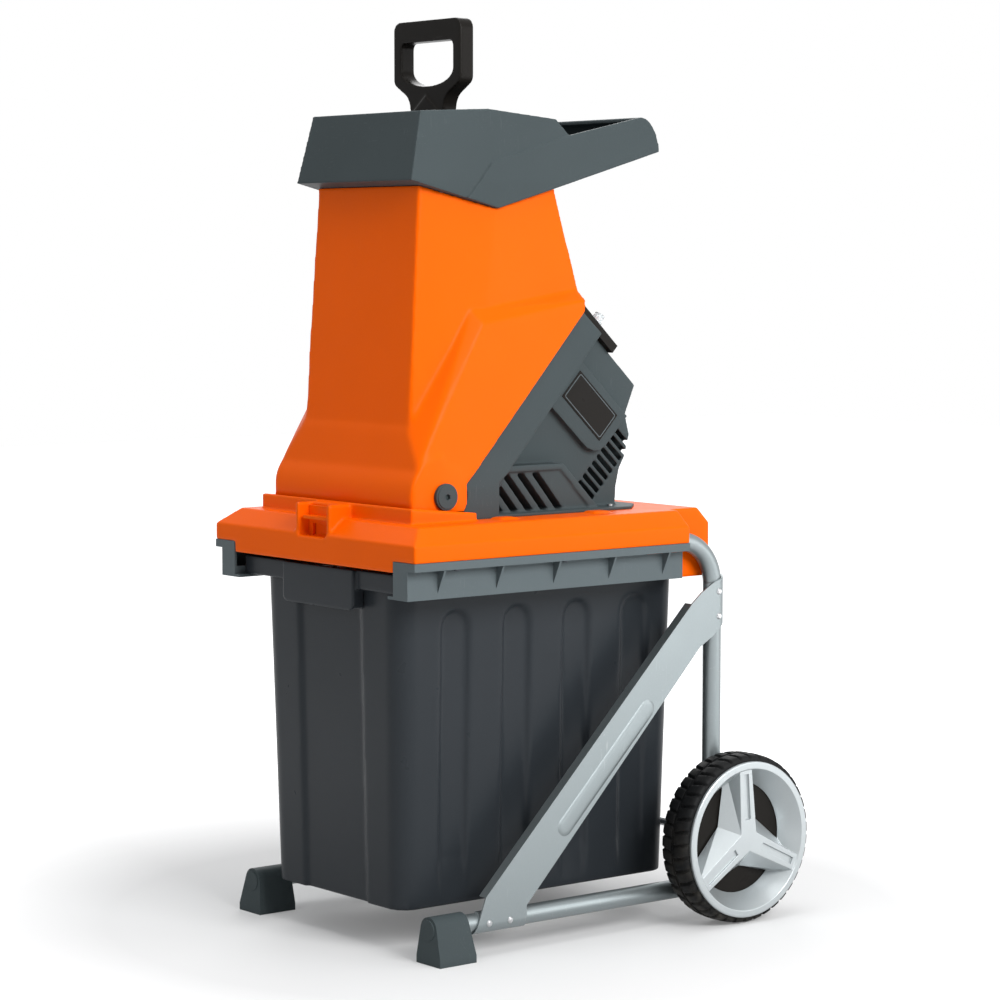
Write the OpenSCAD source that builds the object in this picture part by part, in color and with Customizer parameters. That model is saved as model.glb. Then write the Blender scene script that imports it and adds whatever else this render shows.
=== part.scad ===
// Garden shredder: tilting feed tower over a slanted cutter disc, sliding collection bin, wheeled tube frame.
// Millimetres. Front (bin and latch) is -Y, +Z is up, the floor is z = 0, and the object is symmetric in X.

/* [Stance] */
// Distance from the front face of the deck back to the wheel axle
axle_setback = 500; // [480:1:530]
// Height of the underside of the deck wings above the floor
deck_z = 493; // [480:1:520]
// Clearance of pieces that slide or swing past each other
slide_gap = 0.4; // [0.3:0.1:0.8]
// Radial clearance of turning fits
turn_fit = 0.05; // [0.02:0.01:0.1]
// Clearance of pieces that are seated and stay put
seat_gap = 0.1; // [0.05:0.05:0.2]

/* [Deck] */
// Width over the deck wings
deck_w = 430; // [420:1:450]
// Length of the deck wings
deck_l = 440; // [430:1:450]
// Height of the upright edge of the wings
deck_edge_h = 21; // [18:1:30]
// Rise of the sloping roof above that edge
deck_roof_h = 20; // [12:1:22]
// Run of that slope
roof_run = 24; // [18:1:34]
// Wall of the deck moulding
deck_wall = 3.5; // [2.5:0.5:5]
// How far the front apron hangs below the wings
apron_drop = 14; // [8:1:18]
// Length of the tail behind the wings
tail_l = 68; // [60:1:80]
// How far the tail hangs below the wings
tail_drop = 49; // [40:1:55]
// Chamfer of the tail's upper rear edge
tail_chamfer = 20; // [8:1:30]
// Height of the rim round the tower well
rim_h = 20; // [14:1:24]
// Fall of the rim from front to rear
rim_fall = 10; // [4:1:12]
// Side thickness of the rim
rim_side_t = 11; // [6:1:14]
// Front thickness of the rim
rim_front_t = 7; // [5:1:12]

/* [Rails] */
// Height of a rail
rail_h = 46; // [40:1:52]
// Thickness of the rail's flange
rail_flange_t = 10; // [6:1:14]
// Width of the rail's flange
rail_flange_w = 43.5; // [42:0.5:46]
// Wall of the rail
rail_wall = 3.4; // [2.4:0.2:4.4]
// Setback of the rail's web from the deck edge
rail_web_in = 14.6; // [10:0.2:18]
// Reach of the rail's lip under the bin rim
lip_reach = 11; // [8:1:14]
// Number of gussets on a rail
gusset_n = 5; // [3:1:7]

/* [Bin] */
// Height of the bin floor above the ground
bin_floor_z = 55; // [45:1:70]
// Length of the bin body at its top
bin_l = 454; // [440:1:460]
// Setback of the bin front from the deck front
bin_setback = 26; // [24:1:34]
// Room between the bin body and the rail lips
bin_side_room = 13; // [10:1:18]
// How much each side draws in towards the floor
bin_draft = 9.5; // [4:0.5:14]
// Wall of the bin
bin_wall = 3; // [2:0.5:4]
// Corner radius of the bin
bin_corner_r = 25; // [15:1:35]
// Width of the hooded grip
grip_w = 152; // [120:1:180]
// Height of the hooded grip
grip_h = 50; // [40:1:60]
// Reach of the grip in front of the bin
grip_reach = 17; // [16:1:22]
// Width of the side channels
channel_w = 39; // [30:1:45]
// Depth of the side channels
channel_d = 5; // [2:1:7]

/* [Bin lock] */
// Width of the latch pocket
pocket_w = 60; // [52:1:70]
// Travel of the lock slide
lock_travel = 14; // [10:1:14]
// Width of a lock leg
leg_w = 8; // [6:1:10]
// Thickness of the lock slide
lock_t = 4; // [3:0.5:4.5]

/* [Frame] */
// Outer diameter of the frame tube
tube_d = 24; // [20:1:26]
// Wall of the frame tube
tube_wall = 1.5; // [1:0.25:2.5]
// Bend radius of the frame tube
bend_r = 60; // [45:1:64]
// Setback of the tube from the deck edge
tube_inset = 24; // [22:1:26]
// Height of the lower tube above the floor
tube_low_z = 42; // [36:1:50]
// Depth of the tube socket in the deck
socket_l = 60; // [40:1:80]
// Sheet thickness of the brace
brace_t = 2; // [1.5:0.25:3]
// Depth of the brace's folded edge
brace_fold = 12; // [8:1:14]
// Length of a foot
foot_l = 56; // [48:1:70]
// Width of a foot
foot_w = 48; // [42:1:60]

/* [Wheels] */
// Outer radius of the tyre
wheel_r = 110; // [104:1:116]
// Width of the tyre
tyre_w = 47; // [42:1:54]
// Thickness of the tyre from tread to rim
tyre_t = 18; // [14:1:22]
// Depth of the tread grooves
tread_d = 3.5; // [2:0.5:5]
// Tread blocks in a row
tread_n = 28; // [20:4:36]
// Radius of the axle
axle_r = 6; // [5:0.5:8]
// Gap between tube and wheel, filled by the spacer
spacer_l = 8; // [6:1:12]

/* [Tower] */
// Distance of the tilt axis behind the deck front
pivot_setback = 95; // [90:1:100]
// Height of the tilt axis above the deck roof
pivot_h = 31; // [28:1:36]
// Radius of the tower's rounded nose
nose_r = 50; // [46:1:54]
// Width of the tower's nose
nose_w = 296; // [290:1:302]
// Wall of the tower
tower_wall = 4; // [3:0.5:5]
// Gap round the nose in the deck well
well_gap = 2; // [1.5:0.5:3]
// Height of the tower's top above the deck roof
tower_h = 430; // [415:1:450]
// Half width of the tower's front at the top
shaft_front_hx = 106; // [100:1:110]
// Half width of the tower's flanks at the top
shaft_flank_hx = 118; // [114:1:121]
// Half width of the tower's back at the top
shaft_back_hx = 112; // [106:1:116]
// Angle of the seam between tower and motor housing
seam_tilt = 46.4; // [45:0.1:48]
// Length of the seam
seam_l = 296; // [290:1:302]
// Gap at the seam
seam_gap = 1.5; // [1:0.25:2.5]
// Radius of a pivot bolt's shank
pivot_r = 6; // [5:0.5:8]
// Radius of a pivot bolt's head
pivot_head_r = 16.5; // [14:0.5:17]

/* [Hopper] */
// Overhang of the hopper in front of the tower
hopper_front = 24; // [18:1:30]
// Half width of the hopper's lower edge
hopper_hx = 122; // [120:1:126]
// Draw-in of the hopper's sides over its height
hopper_draw = 9; // [4:1:12]
// Wall of the hopper
hopper_wall = 4; // [3:0.5:5]
// Height of the hopper's front
hopper_h = 86; // [76:1:96]
// Reach of the tray behind the tower
tray_l = 170; // [140:1:190]

/* [Pusher] */
// Height of the handle's top above the hopper rim
handle_h = 119; // [112:1:126]
// Width of the handle
handle_w = 140; // [130:1:150]
// Thickness of the handle
handle_t = 22; // [18:1:26]
// Width of the finger opening
finger_w = 108; // [100:1:112]
// Height of the finger opening
finger_h = 56; // [48:1:62]
// Length of the paddle below its guard plate
paddle_l = 200; // [150:1:220]
// Half width of the paddle
paddle_hx = 88; // [80:1:94]
// Half depth of the paddle
paddle_hy = 74; // [64:1:80]

/* [Motor] */
// Module of the gears
gear_m = 1.5; // [1.4:0.1:1.6]
// Teeth of the motor pinion
pinion_n = 14; // [12:1:16]
// Teeth of the spindle gear
gear_n = 56; // [52:1:58]
// Face width of the spindle gear
gear_t = 12; // [8:1:14]
// Radius of the cutter disc
disc_r = 95; // [85:1:100]
// Thickness of the cutter disc
disc_t = 6; // [4:1:8]
// Radius of the spindle
spindle_r = 8.5; // [7:0.5:10]
// Radius of the motor shaft
shaft_r = 5; // [4:0.5:6]
// Radius of the stator
stator_r = 52; // [46:1:56]
// Length of the stator
stator_l = 64; // [50:1:70]
// Radius of the armature core
rotor_r = 30; // [26:1:33]
// Wall of the motor housing
housing_wall = 3.5; // [2.5:0.5:4.5]
// Half width of the housing behind its front band
housing_hx = 112; // [106:1:116]
// Width of the housing's front band along the motor axis
band_l = 42; // [36:1:50]
// Length of the housing along the motor axis at its ridge
ridge_l = 141; // [134:1:150]
// Height of a badge pad above the housing side
pad_t = 10; // [5:1:12]
// Height of the louvre block
louvre_h = 63; // [54:1:70]
// Number of louvre slots in a block
louvre_n = 5; // [3:1:6]
// Number of rear vent slots in a side
vent_n = 9; // [6:1:11]

/* [Controls] */
// Thickness of the switch plate
plate_t = 12; // [10:0.5:14]
// Radius of the reset button
reset_r = 4; // [3:0.5:5]
// Travel of the reset button
reset_travel = 2.5; // [1.5:0.5:3]
// Length of the power rocker
rocker_l = 26; // [20:1:30]
// Radius of the lock knob's stud
stud_r = 4; // [3:0.5:5]
// Radius of the lock knob
knob_r = 18; // [15:1:21]

/* [Hidden] */
$fn = 64;
ORANGE = "#f26a12";
GREY = "#535b5d";
RAIL_GREY = "#697376";
BIN_GREY = "#3f4447";
SILVER = "#9aa3a4";
BRIGHT = "#c9cdcf";
BLACK = "#242220";
STEEL = "#8d9194";
COPPER = "#b87333";
CLEAR = "#e3e6e4";

// Stance
y_front = -(axle_setback + wheel_r) / 2;
axle_y = y_front + axle_setback;
deck_hx = deck_w / 2;
wing_y = y_front + deck_l;
edge_z = deck_z + deck_edge_h;
roof_z = edge_z + deck_roof_h;
tube_r = tube_d / 2;
tube_x = deck_hx - tube_inset;
tube_top_z = deck_z + 1;
tail_y = wing_y + tail_l;
tail_z = deck_z - tail_drop;
tail_hx = tube_x - tube_r - 3;

// Tilt axis, well and rim
pivot_y = y_front + pivot_setback;
pivot_z = roof_z + pivot_h;
nose_hx = nose_w / 2;
well_hx = nose_hx + well_gap;
well_y0 = pivot_y - nose_r - well_gap;
well_y1 = pivot_y + 42;
well_floor_z = deck_z + 2;
rim_hx = well_hx + rim_side_t;
rim_y = well_y0 - rim_front_t;
post_x1 = nose_hx - tower_wall - 2;
post_x0 = post_x1 - 16;

// Rails and bin
rail_in_x = deck_hx - rail_flange_w;
web_x = deck_hx - rail_web_in;
rail_z = deck_z - rail_h;
lip_x = rail_in_x - lip_reach;
lip_z = rail_z + rail_wall;
socket_r = tube_r + 4;
bin_hx = lip_x - bin_side_room;
bin_rim_hx = rail_in_x - 2;
bin_top_z = deck_z - apron_drop - 5;
bin_y0 = y_front + bin_setback;
bin_y1 = bin_y0 + bin_l;
bin_rim_z = lip_z + slide_gap;
bin_rim_out = 11;
grip_y = bin_y0 - grip_reach;

// Latch pocket and lock
lock_y = y_front + 18;
lock_leg_x = 25;
pocket_floor_z = edge_z - 3;
pocket_top_z = roof_z + rim_h - 2;
lock_low_z = deck_z - apron_drop - 2.5;

// Tower, in the (Y, Z) plane; u runs up the seam and w runs along the motor axis, away from the tower
nose_tail_r = 38;
seam_y = pivot_y + 33;
seam_z = pivot_z + 9;
function seam(u, w) = [seam_y + u * cos(seam_tilt) + w * sin(seam_tilt),
    seam_z + u * sin(seam_tilt) - w * cos(seam_tilt)];
wing_taper = 0.07;
function wing_hx(z) = nose_hx - max(0, z - seam_z) * wing_taper;
tower_top_z = roof_z + tower_h;
nose_low_z = roof_z + 12;
shaft_foot_z = roof_z + 66;
shaft_lean = 24;
shaft_top_y = pivot_y - 5;
shaft_foot_y = shaft_top_y - shaft_lean;
shaft_back_y = pivot_y + 198;
shaft_knee = [pivot_y + 242, roof_z + 281];
flank_top_y = pivot_y + 110;
flank_foot_y = pivot_y + 66;
seam_top = seam(seam_l, 0);

// Hopper profile
hopper_z = roof_z + tower_h - 13;
hopper_y = shaft_top_y - hopper_front;
hopper_top_z = hopper_z + hopper_h;
vee = [pivot_y + 105, hopper_z - 33];
lip_end = [shaft_back_y + tray_l + 5, hopper_z + 42];
lip_top = [shaft_back_y + tray_l - 22, hopper_top_z];
notch = [shaft_back_y + 27, hopper_top_z - 26];
rim_end = [shaft_back_y + 7, hopper_top_z - 6];
shaft_top_hx = min(shaft_front_hx, hopper_hx - 16);
flank_top_hx = min(shaft_flank_hx, hopper_hx - 4);
back_top_hx = min(shaft_back_hx, hopper_hx - 10);
throat_hx = shaft_top_hx - tower_wall;
throat_y0 = shaft_top_y + tower_wall + 2;
throat_y1 = shaft_back_y - tower_wall;
ledge_z = hopper_top_z - 32;
panel_t = 3;
neck_r = 24;

// Pusher
pusher_y = (throat_y0 + throat_y1) / 2;
guard_t = 5;
guard_z = ledge_z + slide_gap;
guard_hx = throat_hx + 5;
handle_z = hopper_top_z + handle_h;
paddle_z = guard_z - paddle_l;

// Motor and cutter stations: heights above the seam plane, towards the tower
spindle_u = seam_l / 2 + 2;
motor_u = spindle_u + gear_m * (pinion_n + gear_n) / 2;
plate_h = 8;
gear_case_h = 42;
gear_top = -plate_h - 12;
case_back = -plate_h - gear_case_h;
bearing_t = 8;
bearing_r = 17.5;
small_bearing_r = 13;
hub_top = 6;
disc_top = hub_top + disc_t;
blade_t = 4;
fan_top = case_back - 2;
fan_t = 10;
stator_top = fan_top - fan_t - 4;
stator_back = stator_top - stator_l;
bracket_top = stator_back - 18;
bracket_t = 8;
ridge_u = seam_l + 1;
panel_w0 = 3;
panel_w1 = 79;
knob_u = ridge_u + 25;
boss_w1 = 18;
reset_x = housing_hx - 2;
reset_w = 36;
rocker_x = -60;
rocker_w = 58;
inlet_w = 30;
inlet_h = 24;

// Wheels
wheel_x = tube_x + tube_r + spacer_l + 4;
rim_r = wheel_r - tyre_t;
tyre_x1 = wheel_x + tyre_w;
trim_x1 = tyre_x1 + 4.5;
trim_r = rim_r + 9;
dish_x = wheel_x + 25;
dish_r = rim_r - 20;
hub_r = 17;
hub_x0 = wheel_x - 4;
hub_x1 = dish_x + 4;
axle_end_x = hub_x1 + 6;

// Brace outline points and rivets
brace_x = tube_x + tube_r + 0.15;
brace_low_y = y_front + 99;
brace_low_l = 81;
rivet_r = 2.5;
low_rivets = [for (i = [0, 1]) [brace_low_y + 22 + i * 33, tube_low_z]];
top_rivets = [for (i = [0, 1]) [axle_y, tube_top_z - 68 - i * 32]];
foot_y = y_front + 35;

module prism_x(points, x0, x1)
    translate([x0, 0, 0]) rotate([90, 0, 90]) linear_extrude(x1 - x0) polygon(points);

module prism_y(points, y0, y1)
    translate([0, y1, 0]) rotate([90, 0, 0]) linear_extrude(y1 - y0) polygon(points);

module block(low, high) translate(low) cube(high - low);

module rod_x(y, z, r, x0, x1) translate([x0, y, z]) rotate([0, 90, 0]) cylinder(r = r, h = x1 - x0);

module rod_y(x, z, r, y0, y1) translate([x, y1, z]) rotate([90, 0, 0]) cylinder(r = r, h = y1 - y0);

module both_sides() {
    children();
    mirror([1, 0, 0]) children();
}

module left_side() mirror([1, 0, 0]) children();

module hull_points(points) hull() polyhedron(points, [[for (i = [0 : len(points) - 1]) i]]);

// Points mirrored to both sides of the middle plane
function paired(points) = [for (s = [-1, 1]) for (p = points) [s * p[0], p[1], p[2]]];

// Local frame of the motor: y climbs the seam, z points into the tower
module motor_frame(u = 0, h = 0)
    translate([0, seam_y, seam_z]) rotate([seam_tilt, 0, 0]) translate([0, u, h]) children();

module ring(r_out, r_in, h) difference() {
    cylinder(r = r_out, h = h);
    translate([0, 0, -1]) cylinder(r = r_in, h = h + 2);
}

// Deck

module deck_roof(wall) intersection() {
    flat_x = deck_hx - roof_run - wall / 2;
    prism_x([[y_front + wall, deck_z - wall], [y_front + wall, edge_z - wall],
        [y_front + roof_run + wall / 2, roof_z - wall], [wing_y - wall, roof_z - wall],
        [wing_y - wall, deck_z - wall]], -deck_hx, deck_hx);
    prism_y([[wall - deck_hx, deck_z - (wall > 0 ? 2 * wall : 0)], [wall - deck_hx, edge_z - wall],
        [-flat_x, roof_z - wall], [flat_x, roof_z - wall], [deck_hx - wall, edge_z - wall],
        [deck_hx - wall, deck_z - (wall > 0 ? 2 * wall : 0)]], y_front, wing_y);
}

module deck_outer() {
    difference() {
        deck_roof(0);
        block([-deck_hx, y_front - 1, deck_z - 10], [deck_hx, wing_y + 1, deck_z]);
    }
    block([slide_gap - rail_in_x, y_front, deck_z - apron_drop],
        [rail_in_x - slide_gap, y_front + deck_wall, deck_z + deck_wall]);
    prism_x([[wing_y + seat_gap, tail_z], [tail_y, tail_z], [tail_y, roof_z - tail_chamfer],
        [tail_y - tail_chamfer, roof_z], [wing_y - deck_wall, roof_z], [wing_y - deck_wall, deck_z],
        [wing_y + seat_gap, deck_z]], -tail_hx, tail_hx);
}

module deck_hollow() {
    deck_roof(deck_wall);
    prism_x([[wing_y - 3 * deck_wall, tail_z - 1], [tail_y - deck_wall, tail_z - 1],
        [tail_y - deck_wall, roof_z - tail_chamfer - deck_wall / 2],
        [tail_y - tail_chamfer - deck_wall / 2, roof_z - deck_wall],
        [wing_y - 3 * deck_wall, roof_z - deck_wall]], deck_wall - tail_hx, tail_hx - deck_wall);
}

module well_walls() {
    block([-well_hx - deck_wall, well_y0 - deck_wall, well_floor_z],
        [well_hx + deck_wall, well_y1 + deck_wall, roof_z]);
    prism_x([[rim_y, roof_z - 2], [rim_y, roof_z + rim_h], [well_y1, roof_z + rim_h - rim_fall],
        [well_y1, roof_z - 2]], -rim_hx, rim_hx);
}

module well_space() {
    block([-well_hx, well_y0, well_floor_z + deck_wall], [well_hx, well_y1, roof_z + rim_h + 1]);
    block([6 - post_x0, well_y0 + 6, well_floor_z - 1], [post_x0 - 6, well_y1 - 6, roof_z]);
}

module pivot_posts() both_sides() difference() {
    union() {
        rod_x(pivot_y, pivot_z, 18, post_x0, post_x1);
        block([post_x0, pivot_y - 12, well_floor_z + 1], [post_x1, pivot_y + 12, pivot_z]);
    }
    rod_x(pivot_y, pivot_z, pivot_r + seat_gap, post_x0 - 1, post_x1 + 1);
}

module tube_sockets() both_sides() {
    rod_y(tube_x, tube_top_z, socket_r, wing_y - socket_l, wing_y - 1);
    block([tube_x - 3, wing_y - socket_l, tube_top_z], [tube_x + 3, wing_y - 1, edge_z]);
}

module rail_bosses() both_sides() for (i = [0, 1])
    translate([web_x + 5, y_front + 70 + 170 * i, deck_z]) cylinder(r = 5, h = deck_edge_h);

module deck() color(ORANGE) difference() {
    union() {
        difference() {
            union() {
                difference() {
                    deck_outer();
                    deck_hollow();
                }
                well_walls();
                prism_x([[y_front + 2, pocket_floor_z - 6], [y_front + 2, pocket_top_z],
                    [well_y0 - 1, pocket_top_z], [well_y0 - 1, pocket_floor_z - 6]],
                    -pocket_w / 2 - 7, pocket_w / 2 + 7);
            }
            well_space();
        }
        pivot_posts();
        tube_sockets();
        rail_bosses();
        both_sides() for (i = [0, 1])
            translate([rim_hx - 12, pivot_y + 73 + 150 * i, edge_z]) cube([21, 26, deck_roof_h + 3]);
    }
    // latch pocket and the slots for the lock's legs
    block([-pocket_w / 2, y_front - 1, pocket_floor_z],
        [pocket_w / 2, lock_y + lock_t + slide_gap, pocket_top_z + 1]);
    both_sides() block([lock_leg_x - leg_w / 2 - slide_gap, lock_y - slide_gap, deck_z - apron_drop],
        [lock_leg_x + leg_w / 2 + slide_gap, lock_y + lock_t + slide_gap, pocket_floor_z + 1]);
    both_sides() rod_y(tube_x, tube_top_z, tube_r + seat_gap, wing_y - socket_l - 1, wing_y + 1);
    both_sides() for (i = [0, 1])
        translate([web_x + 5, y_front + 70 + 170 * i, deck_z - 1]) cylinder(r = 2, h = 16);
    for (p = housing_screw_points) translate([p[0], p[1], roof_z - 20]) cylinder(r = 2, h = 30);
}

// Rails

module rail() color(RAIL_GREY) difference() {
    union() {
        block([rail_in_x, y_front, deck_z - rail_flange_t], [deck_hx, wing_y, deck_z]);
        block([web_x - rail_wall, y_front, rail_z], [web_x, wing_y, deck_z - 1]);
        block([lip_x, y_front, rail_z], [web_x, wing_y, lip_z]);
        block([rail_in_x, y_front, rail_z], [web_x, y_front + rail_wall, deck_z]);
        block([rail_in_x, y_front, rail_z], [rail_in_x + 2.5, wing_y, lip_z + 10]);
        for (i = [0 : gusset_n - 1])
            translate([0, y_front + 47 + i * (deck_l - 80) / (gusset_n - 1), 0])
                prism_y([[web_x - 1, rail_z + 5], [deck_hx - 1, deck_z - rail_flange_t],
                    [deck_hx - 1, deck_z - 1], [web_x - 1, deck_z - 1]], -1.5, 1.5);
    }
    rod_y(tube_x, tube_top_z, socket_r + seat_gap, wing_y - socket_l - seat_gap, wing_y + 1);
    for (i = [0, 1])
        translate([web_x + 5, y_front + 70 + 170 * i, rail_z]) cylinder(r = 2 + seat_gap, h = rail_h + 1);
}

module right_rail() rail();
module left_rail() left_side() rail();

module rail_screws() color(STEEL) both_sides() for (i = [0, 1])
    translate([web_x + 5, y_front + 70 + 170 * i, 0]) {
        translate([0, 0, deck_z - rail_flange_t - 2.5]) cylinder(r = 3.6, h = 2.5);
        translate([0, 0, deck_z - rail_flange_t - 1]) cylinder(r = 1.9, h = rail_flange_t + 14);
    }

// Bin

module bin_form(wall, z0, z1) {
    r = bin_corner_r - wall;
    hull() for (end = [[z0, bin_draft], [z1, 0]]) for (sx = [-1, 1]) for (y = [bin_y0, bin_y1])
        translate([sx * (bin_hx - wall - r - end[1]),
            y + (y == bin_y0 ? 1 : -1) * (wall + r + end[1]), end[0]]) cylinder(r = r, h = 0.5, $fn = 32);
}

// One upright channel with a round top, pressed into the bin's right side
module side_channel(y, grow) {
    lean = atan(bin_draft / (bin_top_z - bin_floor_z));
    translate([bin_hx - bin_draft - channel_d - grow, y, bin_floor_z + 14 - grow])
        rotate([0, lean, 0]) rotate([90, 0, 90]) linear_extrude(channel_d + 20) {
            translate([-channel_w / 2 - grow, 0])
                square([channel_w + 2 * grow, bin_rim_z - bin_floor_z - 62]);
            translate([0, bin_rim_z - bin_floor_z - 62]) circle(r = channel_w / 2 + grow);
        }
}

module bin_channels(grow) both_sides() for (i = [0 : 3])
    side_channel((bin_y0 + bin_y1) / 2 - 138 + i * 97, grow);

// Shallow centre panel in the bin's front
module front_panel(grow) {
    lean = atan(bin_draft / (bin_top_z - bin_floor_z));
    translate([0, bin_y0 + bin_draft + 4 + grow, bin_floor_z + 20 - grow])
        rotate([lean, 0, 0]) translate([-66 - grow, -30, 0])
            cube([132 + 2 * grow, 30, bin_rim_z - bin_floor_z - 16]);
}

module bin() color(BIN_GREY) difference() {
    union() {
        difference() {
            bin_form(0, bin_floor_z, bin_top_z - 0.5);
            bin_channels(0);
            front_panel(0);
        }
        difference() {
            block([-bin_rim_hx, bin_y0 - bin_rim_out, bin_rim_z],
                [bin_rim_hx, bin_y1 + bin_rim_out, bin_top_z]);
            block([bin_wall - bin_rim_hx, bin_y0 - bin_rim_out + bin_wall, bin_rim_z - 1],
                [bin_rim_hx - bin_wall, bin_y1 + bin_rim_out - bin_wall, bin_top_z - bin_wall]);
        }
        hull() {
            block([-grip_w / 2, grip_y, bin_top_z - grip_h + 9], [grip_w / 2, bin_y0 + 2, bin_top_z]);
            both_sides() rod_y(grip_w / 2 - 9, bin_top_z - grip_h + 9, 9, grip_y, bin_y0 + 2);
        }
    }
    block([bin_wall - grip_w / 2, grip_y + bin_wall, bin_top_z - grip_h - 1],
        [grip_w / 2 - bin_wall, bin_y0 - 0.5, bin_top_z - 2 * bin_wall]);
    both_sides() block([lock_leg_x - leg_w / 2 - 2, lock_y - 2, bin_top_z - 3 * bin_wall],
        [lock_leg_x + leg_w / 2 + 2, lock_y + lock_t + 2, bin_top_z + 1]);
    difference() {
        bin_form(bin_wall, bin_floor_z + bin_wall, bin_top_z + 1);
        bin_channels(bin_wall);
        front_panel(bin_wall);
    }
}

module bin_lock() color(ORANGE) {
    low = pocket_floor_z + lock_travel + 1;
    block([slide_gap - pocket_w / 2, lock_y, low],
        [pocket_w / 2 - slide_gap, lock_y + lock_t, pocket_top_z - 4]);
    block([4 - pocket_w / 2, lock_y - 12, low + 6], [pocket_w / 2 - 4, lock_y + 1, low + 10]);
    both_sides() block([lock_leg_x - leg_w / 2, lock_y, lock_low_z],
        [lock_leg_x + leg_w / 2, lock_y + lock_t, low + 1]);
}

module interlock_switch() color(BLACK) {
    x = lock_leg_x + leg_w / 2;
    block([x + 4, y_front + deck_wall, deck_z - 8], [x + 28, y_front + deck_wall + 14, deck_z + 9]);
    rod_x(lock_y - 2, deck_z + 3, 2, x + slide_gap, x + 5);
}

// Tower

module shaft_form(wall) {
    top = tower_top_z + (wall > 0 ? 5 : 0);
    open = wall > 0 ? 10 : 0;
    seam_high = seam(seam_l - 1.3 * wall, open);
    seam_low = seam((shaft_foot_z - seam_z) / sin(seam_tilt), open);
    hull_points(paired([[shaft_top_hx - wall, shaft_top_y + wall, top],
        [flank_top_hx - wall, flank_top_y, top], [back_top_hx - wall, shaft_back_y - wall, top],
        [shaft_front_hx + 7 - wall, shaft_foot_y + wall, shaft_foot_z],
        [shaft_flank_hx + 9 - wall, flank_foot_y, shaft_foot_z],
        [shaft_back_hx + 3 - wall, shaft_knee[0] - wall, shaft_knee[1]],
        [shaft_back_hx + 3 - wall, seam_high[0], seam_high[1]],
        [shaft_flank_hx + 9 - wall, seam_low[0], seam_low[1]]]));
}

module wing_form(wall) {
    open = wall > 0 ? 10 : 0;
    high = seam(seam_l - 1.5 * wall, open);
    low = seam(0, open);
    brow = [shaft_knee[0] - 1.5 - wall, shaft_knee[1] - 12 - wall];
    shoulder = [pivot_y + 73, pivot_z + 210 - wall];
    cheek = [pivot_y - sqrt(pow(nose_r, 2) - pow(32, 2)) + wall, pivot_z + 32];
    hull_points(paired([[shaft_front_hx + 6 - wall, shaft_foot_y + wall, shaft_foot_z + 45 - wall],
        [shaft_flank_hx + 3 - wall, pivot_y + 63, pivot_z + 227 - wall],
        [shaft_back_hx + 2 - wall, shaft_knee[0] - wall, shaft_knee[1] + 2 - wall],
        [wing_hx(cheek[1]) - wall, cheek[0], cheek[1]],
        [wing_hx(shoulder[1]) - wall, shoulder[0], shoulder[1]],
        [wing_hx(brow[1]) - wall, brow[0], brow[1]],
        [wing_hx(high[1]) - wall, high[0], high[1]],
        [nose_hx - wall, low[0], low[1]],
        [nose_hx - wall, pivot_y + 30, pivot_z - 8], [nose_hx - wall, pivot_y - 36, pivot_z - 5]]));
}

module nose_form(wall) {
    reach = nose_hx - wall;
    intersection() {
        union() {
            intersection() {
                rod_x(pivot_y, pivot_z, nose_r - wall, -reach, reach);
                block([-nose_hx, pivot_y - nose_r, pivot_z - nose_r],
                    [nose_hx, pivot_y + 1, pivot_z + nose_r]);
            }
            rod_x(pivot_y, pivot_z, nose_tail_r, -reach, reach);
        }
        block([-nose_hx, pivot_y - nose_r, nose_low_z - wall],
            [nose_hx, pivot_y + nose_r, pivot_z + nose_r]);
    }
}

// Rounded end of the tray: a quarter of an oval between two corners
function lip_curve(low, high) = [for (a = [0 : 15 : 90])
    [high[0] + (low[0] - high[0]) * cos(a), low[1] + (high[1] - low[1]) * sin(a)]];

module hopper_profile() polygon(concat([[hopper_y, hopper_z], vee], lip_curve(lip_end, lip_top),
    [notch, rim_end, [pusher_y, hopper_top_z + 4], [hopper_y + 20, hopper_top_z - 1]]));

module hopper_block() rotate([90, 0, 90])
    linear_extrude(2 * hopper_hx + 20, center = true) hopper_profile();

module tower_shell() color(ORANGE) difference() {
    union() {
        shaft_form(0);
        wing_form(0);
        nose_form(0);
        both_sides() rod_x(pivot_y, pivot_z, 23, nose_hx - 2, nose_hx + well_gap - 0.6);
        prism_x([seam(ridge_u + 2, -0.8), seam(ridge_u + 41, -0.8), seam(ridge_u + 41, -46),
            seam(ridge_u + 2, -30)], -14, 14);
    }
    shaft_form(tower_wall);
    wing_form(tower_wall);
    nose_form(tower_wall);
    hopper_block();
    both_sides() rod_x(pivot_y, pivot_z, pivot_r + turn_fit, nose_hx - 20, nose_hx + 10);
    // the seam face is flat, and below the nose the tower is open
    difference() {
        motor_frame(-6, -60) translate([-nose_hx - 5, 0, 0]) cube([nose_w + 10, seam_l + 6, 60]);
        rod_x(pivot_y, pivot_z, nose_tail_r, -nose_hx - 9, nose_hx + 9);
    }
    block([-nose_hx - 5, pivot_y - 60, roof_z - 20], [nose_hx + 5, pivot_y + 60, nose_low_z]);
    motor_frame(knob_u, -1) cylinder(r = stud_r + 3, h = 15);
    for (p = hopper_screw_points) translate([p[0], p[1], hopper_z - 40]) cylinder(r = 2, h = 60);
}

module lock_insert() color(STEEL) motor_frame(knob_u, 0.9) ring(stud_r + 3 - seat_gap, stud_r + 0.9, 12.9);

module pivot_bolts() color(GREY) both_sides() difference() {
    union() {
        rod_x(pivot_y, pivot_z, pivot_r, post_x0, nose_hx + well_gap);
        rod_x(pivot_y, pivot_z, pivot_head_r, nose_hx + well_gap - 0.3, nose_hx + well_gap + 5);
        rod_x(pivot_y, pivot_z, pivot_head_r - 2, nose_hx + well_gap + 4, nose_hx + well_gap + 6.5);
    }
    translate([nose_hx + well_gap + 2, pivot_y, pivot_z]) rotate([0, 90, 0]) cylinder(r = 4, h = 10, $fn = 6);
}

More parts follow.
